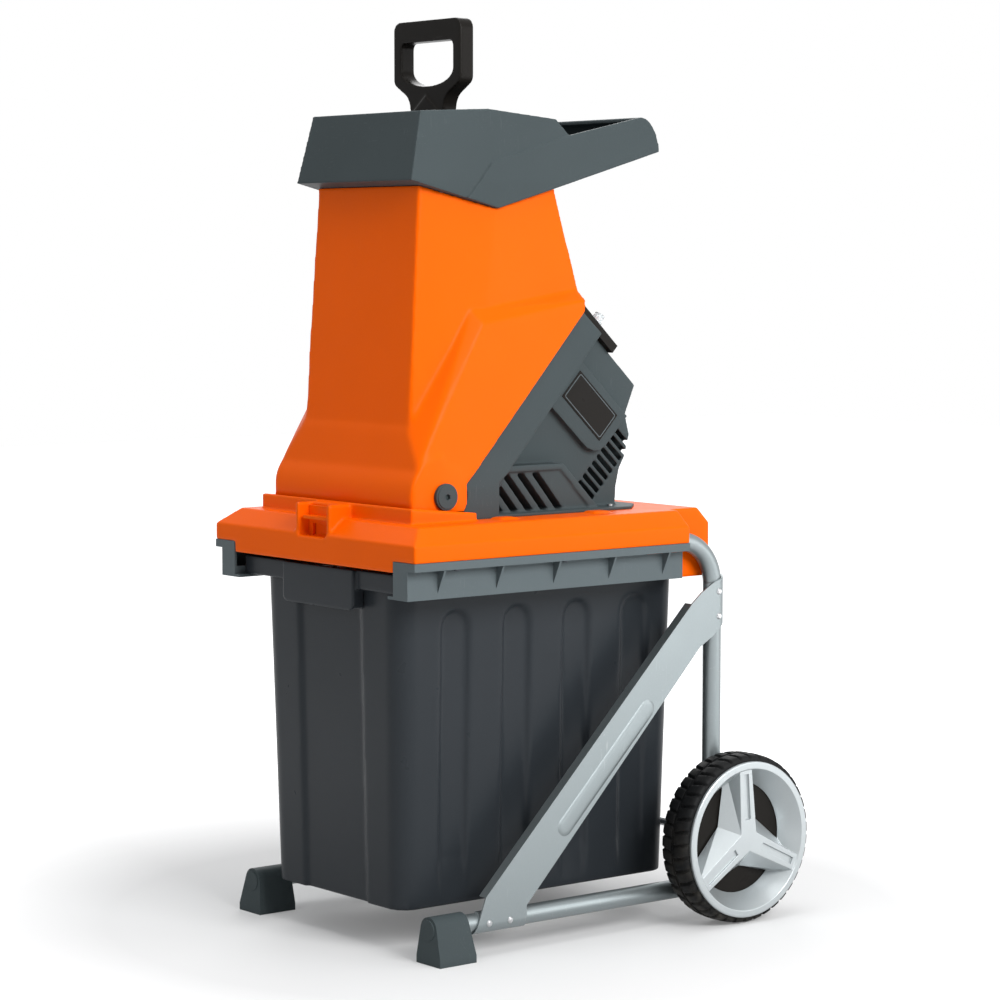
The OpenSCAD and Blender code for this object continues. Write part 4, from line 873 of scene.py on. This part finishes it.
@dataclass
class Bin(SubAssembly):
    """The collection bin: a drafted tub with pressed channels and a rim with a grip.

    Attributes:
        half: Half width of the tub's top.
        front: Y of the tub's front at the top.
        back: Y of the tub's back at the top.
        floor: Height of the floor.
        top: Height of the rim's top.
        draft: How far each wall draws in down to the floor.
        corner: Radius of the upright corners.
        wall: Wall thickness.
        channel_w: Width of a side channel.
        channel_d: Depth of a side channel.
        channel_top: Height of a channel's round end.
        channels: Y of each channel's middle.
        fade: Heights over the floor where a channel starts and where it is at its full depth.
        shallow: Depth of a channel where it starts.
        panel: Half width of the front panel.
        panel_d: Depth of the front panel.
        panel_span: How far the panel's tool runs past the floor and the rim.
        clear: How far a pressing tool stands out of the wall.
        flare: How much wider a pressing tool is out there.
        blank: How far the tub stands over the rim before it is cut.
        core: How far the hollow's tool stands over the rim.
        rim_z: Height at which the rim starts.
        lap: How far the tub reaches into the rim.
        cover: Corners, without their height, of a box round the bin.
        cover_top: Height of that box.
        grip: Corners of a box round the grip.
    """

    title: ClassVar[str] = "bin"
    half: float = 147.5
    front: float = -279.0
    back: float = 175.0
    floor: float = Side.FOOT.of("bin")
    top: float = Side.TOP.of("bin")
    draft: float = 9.5
    corner: float = 25.0
    wall: float = 3.0
    channel_w: float = 39.0
    channel_d: float = 5.0
    channel_top: float = 422.0
    channels: Tuple[float, ...] = (-190.0, -93.0, 4.0, 101.0)
    fade: Flat = (8.0, 60.0)
    shallow: float = 0.2
    panel: float = 65.0
    panel_d: float = 4.0
    panel_span: Flat = (12.0, 4.0)
    clear: float = 20.0
    flare: float = 14.0
    blank: float = 8.0
    core: float = 30.0
    rim_z: float = 449.6
    lap: float = 1.0
    cover: Tuple[Flat, Flat] = ((-200.0, -320.0), (200.0, 220.0))
    cover_top: float = 520.0
    grip: Tuple[Point, Point] = ((-80.0, -320.0, 400.0), (80.0, -278.6, 470.0))

    def build(self) -> List[bpy.types.Object]:
        """Builds the tub and its rim."""
        return [self._tub(), self._rim()]

    def _drawn(self, z: float) -> float:
        """Gives how far the walls have drawn in at a height."""
        return self.draft * (self.top - z) / (self.top - self.floor)

    def _form(self, inset: float, low: float, high: float) -> bpy.types.Object:
        """Wraps the tub's rounded and drafted outline.

        Args:
            inset: Distance inside the outer wall.
            low: Lowest height.
            high: Highest height.

        Returns:
            A closed solid.
        """
        points = []
        radius = self.corner - inset
        for z in (low, high):
            draw = self._drawn(z) + self.corner
            for sx in (-1, 1):
                for y in (self.front + draw, self.back - draw):
                    x = sx * (self.half - draw)
                    points += [(x + radius * c, y + radius * s, z) for c, s in CIRCLE]
        return Workshop.hull(points)

    def _channel(self, sx: int, middle: float, grow: float) -> bpy.types.Object:
        """Makes the tool that presses one side channel.

        Args:
            sx: Side of the bin along X.
            middle: Y of the channel's middle.
            grow: How far the tool stands out all round.

        Returns:
            A closed solid.
        """
        half = self.channel_w / 2
        depths = (self.shallow, self.channel_d)
        edge = []
        for s in (-1.0, 1.0):
            edge += [(self.floor + z, 0.0, s, 0.0, deep) for z, deep in zip(self.fade, depths)]
        for c, s in arc(END_STEPS, math.pi):
            edge.append((self.channel_top - half, half + grow, c, s, self.channel_d))
        points = []
        for z, rise, dy, dz, deep in edge:
            for out, spread in ((-deep - grow, 0.0), (self.clear, self.flare)):
                high = z + dz * (rise + spread)
                x = self.half - self._drawn(high) + out
                points.append((sx * x, middle + dy * (half + grow + spread), high))
        return Workshop.hull(points)

    def _panel(self, grow: float) -> bpy.types.Object:
        """Makes the tool that presses the front panel.

        Args:
            grow: How far the tool stands out all round.

        Returns:
            A closed solid.
        """
        points = []
        for z in (self.floor - self.panel_span[0], self.top + self.panel_span[1]):
            face = self.front + self._drawn(z)
            for sx in (-1, 1):
                points.append((sx * (self.panel + grow), face + self.panel_d + grow, z))
                points.append((sx * (self.panel + self.flare + grow), face - self.clear, z))
        return Workshop.hull(points)

    def _pressings(self, grow: float) -> List[bpy.types.Object]:
        """Makes all pressing tools, standing out by grow all round."""
        tools = [self._channel(sx, middle, grow) for sx in (-1, 1) for middle in self.channels]
        return tools + [self._panel(grow)]

    def _above(self, z: float) -> bpy.types.Object:
        """Makes a box round all of the bin that is above a height."""
        low, high = self.cover
        return Workshop.block((*low, z), (*high, self.cover_top))

    def _tub(self) -> bpy.types.Object:
        """Builds the tub with soft pressings and hollows it out.

        Returns:
            The tub.
        """
        tub = self._form(0, self.floor, self.top + self.blank)
        Workshop.carve(tub, self._pressings(0))
        tub.name = "bin_tub"
        Melt(voxel=2.4, passes=12, share=0.35).form(tub)
        inner = self._form(self.wall, self.floor + self.wall, self.top + self.core)
        Workshop.carve(inner, self._pressings(self.wall))
        Workshop.carve(tub, [inner, self._above(self.rim_z + self.lap)])
        return Workshop.settle(tub, BIN, "collection_bin", ["bin"])

    def _rim(self) -> bpy.types.Object:
        """Cuts the rim and the grip from the solid and softens them.

        Returns:
            The rim.
        """
        rim = Workshop.copy_of("bin_rim", "bin")
        kept = Workshop.carve(self._above(self.rim_z), [Workshop.block(*self.grip)], Cut.JOIN)
        Workshop.carve(rim, [kept], Cut.KEEP)
        Melt(voxel=1.5, passes=5).form(rim)
        return Workshop.settle(rim, BIN, "collection_bin", ["bin"])


@dataclass
class Tower(SubAssembly):
    """The tilting cutter tower with its hopper and hinge bolts.

    Attributes:
        base: Height of the shell's foot.
        vee: Y and Z of the lowest point of the edge under the hopper.
        front_rise: Rise of that edge towards the front, per millimetre.
        rear_rise: Rise of that edge towards the rear, per millimetre.
        flare_y: Y where the front flare starts to be soft, and over what length.
        flare_z: Height where the front flare ends, and over what length.
        soft_share: Share of the smoothing away from the flare.
        least: Share of the smoothing at a kept edge.
        margin: Distance from a kept edge at which smoothing starts, and over what length.
        spare: How far the seam's edge is drawn out before it is trimmed.
        edge: Least distance up the seam, and most off it, of what is drawn out.
        trim: Distance of the trimmed edge from the seam.
        knife: Where the trimming tool starts and ends up the seam.
        knife_d: How far the trimming tool reaches into the housing.
        knife_w: Half width of the trimming tool.
    """

    title: ClassVar[str] = "tower"
    base: float = Side.FOOT.of("tower_shell")
    vee: Flat = (-105.0, 918.0)
    front_rise: float = 33.0 / 134.0
    rear_rise: float = 75.0 / 268.0
    flare_y: Flat = (-150.0, 30.0)
    flare_z: Flat = (740.0, 60.0)
    soft_share: float = 0.3
    least: float = 0.1
    margin: Flat = (3.0, 9.0)
    spare: float = 4.0
    edge: Flat = (6.0, 1.0)
    trim: float = 0.2
    knife: Flat = (4.4, 480.0)
    knife_d: float = 50.0
    knife_w: float = 260.0

    def build(self) -> List[bpy.types.Object]:
        """Dresses the shell, the hopper and their fasteners.

        Returns:
            The pieces.
        """
        made = [self._shell()]
        made += [Melt(voxel=1.5, passes=2).make("hopper", GREY, "tower")]
        made += self.dress(["hopper_screws"], STEEL, bevel=0.2)
        made += self.dress(["pivot_bolts"], GREY, bevel=1.6, steps=3)
        made += self.dress(["lock_insert"], STEEL, bevel=0.2)
        return made

    def _soft(self, place: Vector) -> float:
        """Keeps the smoothing off the seam's drawn-out edge, the base and the edge under the hopper.

        Args:
            place: A point of the shell in metres.

        Returns:
            Share of the smoothing there.
        """
        y, z = place.y / MM, place.z / MM
        slope = -self.front_rise if y < self.vee[0] else self.rear_rise
        off_top = self.vee[1] + slope * (y - self.vee[0]) - z
        near = min(SEAM.measure(place)[1] + self.spare, z - self.base, off_top)
        ahead = clamp((self.flare_y[0] - y) / self.flare_y[1])
        flare = ahead * clamp((self.flare_z[0] - z) / self.flare_z[1])
        most = self.soft_share + (1.0 - self.soft_share) * flare
        return min(most, max(self.least, (near - self.margin[0]) / self.margin[1]))

    def _shell(self) -> bpy.types.Object:
        """Softens the shell and trims its edge along the seam.

        Returns:
            The shell's skin.
        """
        skin = Workshop.copy_of("tower_shell_skin", "tower_shell")
        c, s = SEAM.direction()
        drawn = Vector((0.0, s, -c)) * self.spare * MM
        for vertex in skin.data.vertices:
            up, off = SEAM.measure(vertex.co)
            if up > self.edge[0] and off < self.edge[1]:
                vertex.co += drawn
        Melt(voxel=2.0, passes=45).form(skin, self._soft)
        spots = [SEAM.spot(up, off) for up in self.knife for off in (-self.trim, self.knife_d)]
        knife = Workshop.hull([(x, *spot) for x in (-self.knife_w, self.knife_w) for spot in spots])
        Workshop.carve(skin, [knife])
        return Workshop.settle(skin, ORANGE, "tower", ["tower_shell"])


@dataclass
class Pusher(SubAssembly):
    """The push-down tool with its grip."""

    title: ClassVar[str] = "pusher"

    def build(self) -> List[bpy.types.Object]:
        """Dresses the handle, the paddle and the screws.

        Returns:
            The pieces.
        """
        made = [Melt(voxel=1.3, passes=12).make("pusher_handle", HANDLE, "pusher")]
        made += self.dress(["pusher_paddle"], HANDLE, bevel=1.5)
        made += self.dress(["pusher_screws"], STEEL, bevel=0.2)
        return made


@dataclass
class Motor(SubAssembly):
    """The motor housing with its controls.

    Attributes:
        plate: X of a badge plate's outer face.
        low: Places of the plate's lower corner, up the seam and away from it.
        high: The same for its upper corner.
        corner: Distance from the plate's edges to the middle of the line's corner arcs.
        margin: Distance from the plate's edges to the line round it.
        line: Width of the line.
        sunk: How deep the line stands in the plate.
        proud: How far it stands out.
        reset: X, place up the seam and distance from it of the reset button.
        bore: Radius of the button's bore.
        bore_span: Ends of the bore up the seam, from the button's place.
    """

    title: ClassVar[str] = "motor housing"
    plate: float = Side.RIGHT.of("badge_plates")
    low: Flat = (199.0, 53.0)
    high: Flat = (243.0, 139.0)
    corner: float = 5.6
    margin: float = 2.6
    line: float = 1.1
    sunk: float = 0.4
    proud: float = 0.25
    reset: Point = (110.0, 297.0, 36.0)
    bore: float = 4.6
    bore_span: Flat = (-9.0, 15.0)

    def build(self) -> List[bpy.types.Object]:
        """Dresses the housing, the plates and the controls.

        Returns:
            The pieces.
        """
        made = [self._housing()]
        dark = ["badge_plates", "switch_plate", "inlet_socket", "tower_lock_knob"]
        made += self.dress(dark, HANDLE, bevel=0.6)
        made += self.dress(["power_switch", "reset_button"], RED, bevel=0.6)
        made += self.dress(["reset_cap"], CAP, bevel=0.8)
        made += self.dress(["housing_screws"], STEEL, bevel=0.2)
        made += [self._line("right", 1), self._line("left", -1)]
        return made

    def _housing(self) -> bpy.types.Object:
        """Softens the housing and bores it clear of the reset button.

        Returns:
            The housing's skin.
        """
        skin = Melt(voxel=1.5, passes=4).form(Workshop.copy_of("motor_housing_skin", "motor_housing"))
        x, up, off = self.reset
        points = []
        for end in self.bore_span:
            for c, s in CIRCLE:
                points.append((x + self.bore * c, *SEAM.spot(up + end, off + self.bore * s)))
        Workshop.carve(skin, [Workshop.hull(points)])
        return Workshop.settle(skin, GREY, "frame", ["motor_housing"])

    def _line(self, side: str, sign: int) -> bpy.types.Object:
        """Builds the fine raised line round one badge plate.

        Args:
            side: Left or right.
            sign: Direction of the plate's face along X.

        Returns:
            The line.
        """
        shape = bmesh.new()
        near = (self.low[0] + self.corner, self.low[1] + self.corner)
        far = (self.high[0] - self.corner, self.high[1] - self.corner)
        corners = (far, (near[0], far[1]), near, (far[0], near[1]))
        outer, inner = self.margin, self.margin + self.line
        section = ((outer, -self.sunk), (outer, self.proud), (inner, self.proud), (inner, -self.sunk))
        loops = []
        for inset, out in section:
            radius = self.corner - inset
            loop = []
            for quarter, (up, off) in enumerate(corners):
                for c, s in arc(CORNER_STEPS, math.pi / 2, math.pi / 2 * quarter):
                    spot = SEAM.spot(up + radius * c, off + radius * s)
                    loop.append(shape.verts.new(Vector((sign * (self.plate + out), *spot)) * MM))
            loops.append(loop)
        Workshop.skin_loops(shape, loops)
        return Workshop.settle(Workshop.keep(side + "_badge_line", shape), RAIL, "frame", angle=30.0)


@dataclass
class Drive(SubAssembly):
    """The cutter and the motor inside the housing."""

    title: ClassVar[str] = "drive"

    def build(self) -> List[bpy.types.Object]:
        """Dresses the inner parts.

        Returns:
            The pieces.
        """
        made = self.dress(["motor_plate", "gear_case", "motor_bracket"], ALLOY, bevel=0.5)
        steel = ["spindle", "spindle_bearings", "spindle_gear", "blades", "blade_screws", "disc_bolt"]
        made += self.dress(steel + ["motor_shaft", "pinion", "motor_bearings"], STEEL, bevel=0.2)
        made += self.dress(["cutter_disc", "motor_stator", "rotor_core"], IRON, bevel=0.4)
        made += self.dress(["commutator"], COPPER, bevel=0.2)
        made += self.dress(["cooling_fan", "brush_holders"], HANDLE, bevel=0.3)
        return made


@dataclass
class Chassis(SubAssembly):
    """The tube frame, its sheet braces and feet.

    Attributes:
        face: X of a brace's outer face.
        bead: Y and Z of the middle of the pressed bead.
        lean: Angle of the bead in degrees.
        length: Length of the bead.
        width: Width of the bead.
        rise: Height of the bead over the sheet.
        profile: Share of the rise, and distance from the bead's edge, up its flank.
    """

    title: ClassVar[str] = "chassis"
    face: float = Side.RIGHT.of("right_brace")
    bead: Flat = (4.0, 216.0)
    lean: float = 45.1
    length: float = 216.0
    width: float = 24.0
    rise: float = 1.5
    profile: Tuple[Flat, ...] = ((-0.6, 0.0), (0.0, 0.2), (0.5, 2.0), (0.85, 4.2), (1.0, 6.8))

    def build(self) -> List[bpy.types.Object]:
        """Dresses tubes, braces, rivets, feet and the axle.

        Returns:
            The pieces.
        """
        made = self.dress(["left_frame_tube", "right_frame_tube"], PAINT, bevel=0.5)
        made += self.dress(["left_brace", "right_brace"], PAINT, bevel=0.5)
        made += [self._bead("right", 1), self._bead("left", -1)]
        made += self.dress(["brace_rivets", "axle", "axle_clips"], STEEL, bevel=0.4)
        made += self.dress(["left_foot", "right_foot"], GREY, bevel=1.6, steps=3)
        made += self.dress(["axle_spacers"], HANDLE, bevel=0.3)
        return made

    def _bead(self, side: str, sign: int) -> bpy.types.Object:
        """Builds the long stiffening bead on one brace.

        Args:
            side: Left or right.
            sign: Direction of the brace's outer face along X.

        Returns:
            The bead.
        """
        points = []
        a = math.radians(self.lean)
        for out, draw in self.profile:
            radius = self.width / 2 - draw
            for end in (-1, 1):
                for c, s in arc(ROUND_STEPS, math.pi, -math.pi / 2):
                    along = end * (self.length / 2 - self.width / 2 + radius * c)
                    over = radius * s
                    y = self.bead[0] + along * math.cos(a) - over * math.sin(a)
                    z = self.bead[1] + along * math.sin(a) + over * math.cos(a)
                    points.append((sign * (self.face + out * self.rise), y, z))
        made = Workshop.hull(points)
        made.name = side + "_brace_bead"
        return Workshop.settle(made, PAINT, "frame", angle=50.0)


@dataclass
class Wheels(SubAssembly):
    """The two wheels, with tyres that have two rows of staggered blocks.

    Attributes:
        inner: X of the tyre's inner face.
        outer: X of the tyre's outer face.
        axle: Y and Z of the axle.
        crown: Radius over the tread.
        seat: Radius of the tyre's seat on the rim.
        seat_in: How far the seat's edges lie inside the tyre's faces.
        blocks: Tread blocks in one row.
        steps: Points along one block.
        groove: Depth of the grooves.
        groove_w: Cut at a groove's middle before it is held at 1; more makes a wider groove.
        steep: Steepness of a groove's flanks.
        stagger: Share of a block by which the rows are set off.
        slant: Share of a block by which a groove runs askew, per millimetre.
        PROFILE: Distance from the middle, distance under the crown and groove share of each
            point from the side wall to the middle.
    """

    title: ClassVar[str] = "wheels"
    inner: float = Side.LEFT.of("right_tyre")
    outer: float = Side.RIGHT.of("right_tyre")
    axle: Flat = (
        (Side.FRONT.of("right_tyre") + Side.BACK.of("right_tyre")) / 2,
        (Side.FOOT.of("right_tyre") + Side.TOP.of("right_tyre")) / 2,
    )
    crown: float = (Side.TOP.of("right_tyre") - Side.FOOT.of("right_tyre")) / 2
    seat: float = 92.0
    seat_in: float = 0.6
    blocks: int = 40
    steps: int = 12
    groove: float = 3.0
    groove_w: float = 2.0
    steep: float = 14.0
    stagger: float = 0.5
    slant: float = 0.011
    PROFILE: ClassVar[Tuple[Point, ...]] = (
        (23.0, 15.0, 0.0), (23.3, 9.0, 0.3), (23.0, 5.5, 0.9), (21.8, 3.2, 1.0),
        (19.5, 1.6, 1.0), (15.0, 0.7, 1.0), (9.0, 0.2, 1.0), (3.4, 0.0, 1.0),
        (2.6, 0.2, 1.0), (2.2, 2.4, 0.2), (1.1, 2.4, 0.2), (0.8, 1.2, 0.0),
    )

    def build(self) -> List[bpy.types.Object]:
        """Builds the tyres and dresses the discs and trims.

        Returns:
            The pieces.
        """
        made = [self._tyre("right", 1), self._tyre("left", -1)]
        made += self.dress(["left_wheel_disc", "right_wheel_disc"], HANDLE, bevel=0.6)
        made += self.dress(["left_wheel_trim", "right_wheel_trim"], TRIM, bevel=0.8, steps=2)
        return made

    def _section(self) -> List[Tuple[float, float, int, float]]:
        """Lists the tyre's section.

        Returns:
            X, radius, tread row and groove share of each point, once round the section.
        """
        middle = (self.inner + self.outer) / 2
        right = [(middle + x, self.crown - under, 1, share) for x, under, share in self.PROFILE]
        left = [(2 * middle - x, radius, 0, share) for x, radius, _, share in reversed(right)]
        near, far = self.inner + self.seat_in, self.outer - self.seat_in
        seat = [(near, self.seat, 0, 0.0), (far, self.seat, 1, 0.0)]
        return right + left + seat

    def _tyre(self, side: str, sign: int) -> bpy.types.Object:
        """Builds one tyre.

        Args:
            side: Left or right.
            sign: Direction of the wheel's outer face along X.

        Returns:
            The tyre.
        """
        shape = bmesh.new()
        middle = (self.inner + self.outer) / 2
        section = self._section()
        loops = []
        for step, (c, s) in enumerate(arc(self.blocks * self.steps, math.tau)[:-1]):
            loop = []
            for x, radius, row, share in section:
                askew = self.slant * abs(x - middle)
                phase = (step / self.steps + self.stagger * row + askew) % 1.0
                cut = clamp(self.groove_w - self.steep * abs(phase - 0.5))
                r = radius - self.groove * cut * share
                place = (sign * x, self.axle[0] + r * c, self.axle[1] + r * s)
                loop.append(shape.verts.new(Vector(place) * MM))
            loops.append(loop)
        Workshop.skin_loops(shape, loops)
        tyre = Workshop.keep(side + "_tyre_tread", shape)
        return Workshop.settle(tyre, TYRE, side + "_wheel", [side + "_tyre"], angle=32.0)


@dataclass(frozen=True)
class Lamp:
    """One soft area light.

    Attributes:
        name: The light's name.
        spot: Its place in metres.
        power: Its power in watts.
        size: Its edge in metres.
    """

    name: str
    spot: Point
    power: float
    size: float

    def hang(self, aim: Point) -> None:
        """Adds the light to the scene.

        Args:
            aim: Point that it faces, in metres.
        """
        data = bpy.data.lights.new(self.name, "AREA")
        data.energy = self.power
        data.size = self.size
        lamp = bpy.data.objects.new(self.name, data)
        lamp.location = self.spot
        lamp.rotation_euler = (Vector(aim) - Vector(self.spot)).to_track_quat("-Z", "Y").to_euler()
        bpy.context.scene.collection.objects.link(lamp)


@dataclass
class Studio:
    """The camera, the lights, the floor and the background.

    Attributes:
        eye: Camera place in metres.
        turn: Camera heading in degrees, from looking along +Y towards -X.
        dip: Camera tilt below the horizon in degrees.
        lens: Focal length in millimetres.
        sensor: Sensor width in millimetres.
        aim: Point that the lamps face, in metres.
        lamps: The lamps.
        floor_size: Half edge of the floor in metres.
        floor_parts: Squares along the floor's edge.
        floor_colour: Linear colour of the floor.
        floor_rough: Roughness of the floor.
        floor_shine: Level of the floor's mirror reflection.
        glow: Least glow of the floor, and what it gains far out.
        far: Distances in metres between which the floor's glow grows.
        sky_low: Light of the sky at the horizon.
        sky_high: Light of the sky overhead.
        sky_span: Heights of a ray between which the sky's light grows.
    """

    eye: Point = (3.124, -2.486, 0.860)
    turn: float = 51.54
    dip: float = 4.56
    lens: float = 110.57
    sensor: float = 36.0
    aim: Point = (0.0, 0.0, 0.55)
    lamps: Tuple[Lamp, ...] = (
        Lamp("key", (3.0, -0.1, 2.1), 92.0, 1.6),
        Lamp("side", (2.3, 1.9, 0.95), 24.0, 1.8),
        Lamp("top", (0.2, -0.2, 3.0), 30.0, 2.0),
        Lamp("fill", (-0.8, -3.2, 1.5), 11.0, 1.8),
        Lamp("rear", (-2.2, 1.8, 2.2), 26.0, 1.8),
    )
    floor_size: float = 9.0
    floor_parts: int = 8
    floor_colour: Rgba = (0.66, 0.66, 0.66, 1.0)
    floor_rough: float = 0.9
    floor_shine: float = 0.1
    glow: Flat = (0.15, 0.77)
    far: Flat = (0.52, 1.2)
    sky_low: Rgba = (0.13, 0.133, 0.14, 1.0)
    sky_high: Rgba = (0.46, 0.47, 0.48, 1.0)
    sky_span: Flat = (-0.1, 0.75)

    def build(self) -> None:
        """Sets up camera, light, floor and background."""
        self._camera()
        for lamp in self.lamps:
            lamp.hang(self.aim)
        self._floor()
        self._world()
        bpy.context.scene.view_settings.view_transform = "Standard"

    def _camera(self) -> None:
        """Places the camera at the photograph's view."""
        data = bpy.data.cameras.new("camera")
        data.sensor_fit = "HORIZONTAL"
        data.sensor_width = self.sensor
        data.lens = self.lens
        eye = bpy.data.objects.new("camera", data)
        a, e = math.radians(self.turn), math.radians(self.dip)
        ahead = Vector((-math.sin(a) * math.cos(e), math.cos(a) * math.cos(e), -math.sin(e)))
        eye.location = self.eye
        eye.rotation_euler = ahead.to_track_quat("-Z", "Y").to_euler()
        bpy.context.scene.collection.objects.link(eye)
        bpy.context.scene.camera = eye

    @staticmethod
    def _seen(graph: Graph) -> bpy.types.NodeSocket:
        """Tells rays that are seen from plain light.

        Args:
            graph: The graph that the nodes go into.

        Returns:
            A socket with 1 for rays of the eye, of reflections and of glass, and 0 for others.
        """
        path = graph.node("ShaderNodeLightPath").outputs
        mirrored = graph.math("MAXIMUM", path["Is Glossy Ray"], path["Is Transmission Ray"])
        return graph.math("MAXIMUM", path["Is Camera Ray"], mirrored)

    def _floor(self) -> None:
        """Adds the pale floor, lit enough to run into the white background."""
        shape = bmesh.new()
        parts = self.floor_parts
        bmesh.ops.create_grid(shape, x_segments=parts, y_segments=parts, size=self.floor_size)
        mesh = bpy.data.meshes.new("floor")
        shape.to_mesh(mesh)
        shape.free()
        floor = bpy.data.objects.new("floor", mesh)
        bpy.context.scene.collection.objects.link(floor)
        made = bpy.data.materials.new("floor")
        made.use_nodes = True
        graph = Graph(made.node_tree)
        shader = next(n for n in made.node_tree.nodes if n.type == "BSDF_PRINCIPLED")
        shader.inputs["Base Color"].default_value = self.floor_colour
        shader.inputs["Roughness"].default_value = self.floor_rough
        shader.inputs["Specular IOR Level"].default_value = self.floor_shine
        place = graph.node("ShaderNodeTexCoord").outputs["Object"]
        distance = graph.node("ShaderNodeVectorMath", {0: place}, operation="LENGTH").outputs["Value"]
        gain = graph.math("MULTIPLY", graph.ramp(distance, *self.far), self.glow[1])
        glow = graph.math("MULTIPLY", self._seen(graph), graph.math("ADD", gain, self.glow[0]))
        made.node_tree.links.new(glow, shader.inputs["Emission Strength"])
        shader.inputs["Emission Color"].default_value = WHITE
        mesh.materials.append(made)

    def _world(self) -> None:
        """Makes the background white to the eye and dimmer as a light."""
        world = bpy.data.worlds.new("studio")
        world.use_nodes = True
        bpy.context.scene.world = world
        graph = Graph(world.node_tree)
        back = next(n for n in world.node_tree.nodes if n.type == "BACKGROUND")
        ray = graph.node("ShaderNodeTexCoord").outputs["Generated"]
        height = graph.node("ShaderNodeSeparateXYZ", {0: ray}).outputs[2]
        dome = graph.mix(graph.ramp(height, *self.sky_span), self.sky_low, self.sky_high)
        shade = graph.mix(self._seen(graph), dome, WHITE)
        world.node_tree.links.new(shade, back.inputs["Color"])
        back.inputs["Strength"].default_value = 1.0


def main() -> None:
    """Builds every group, then the studio."""
    logging.basicConfig(level=logging.INFO, format="%(name)s: %(message)s")
    for group in (Deck(), Bin(), Tower(), Pusher(), Motor(), Drive(), Chassis(), Wheels()):
        for piece in group.build():
            LOG.info("%s: %s", group.title, piece.name)
    Studio().build()


if __name__ == "__main__":
    main()
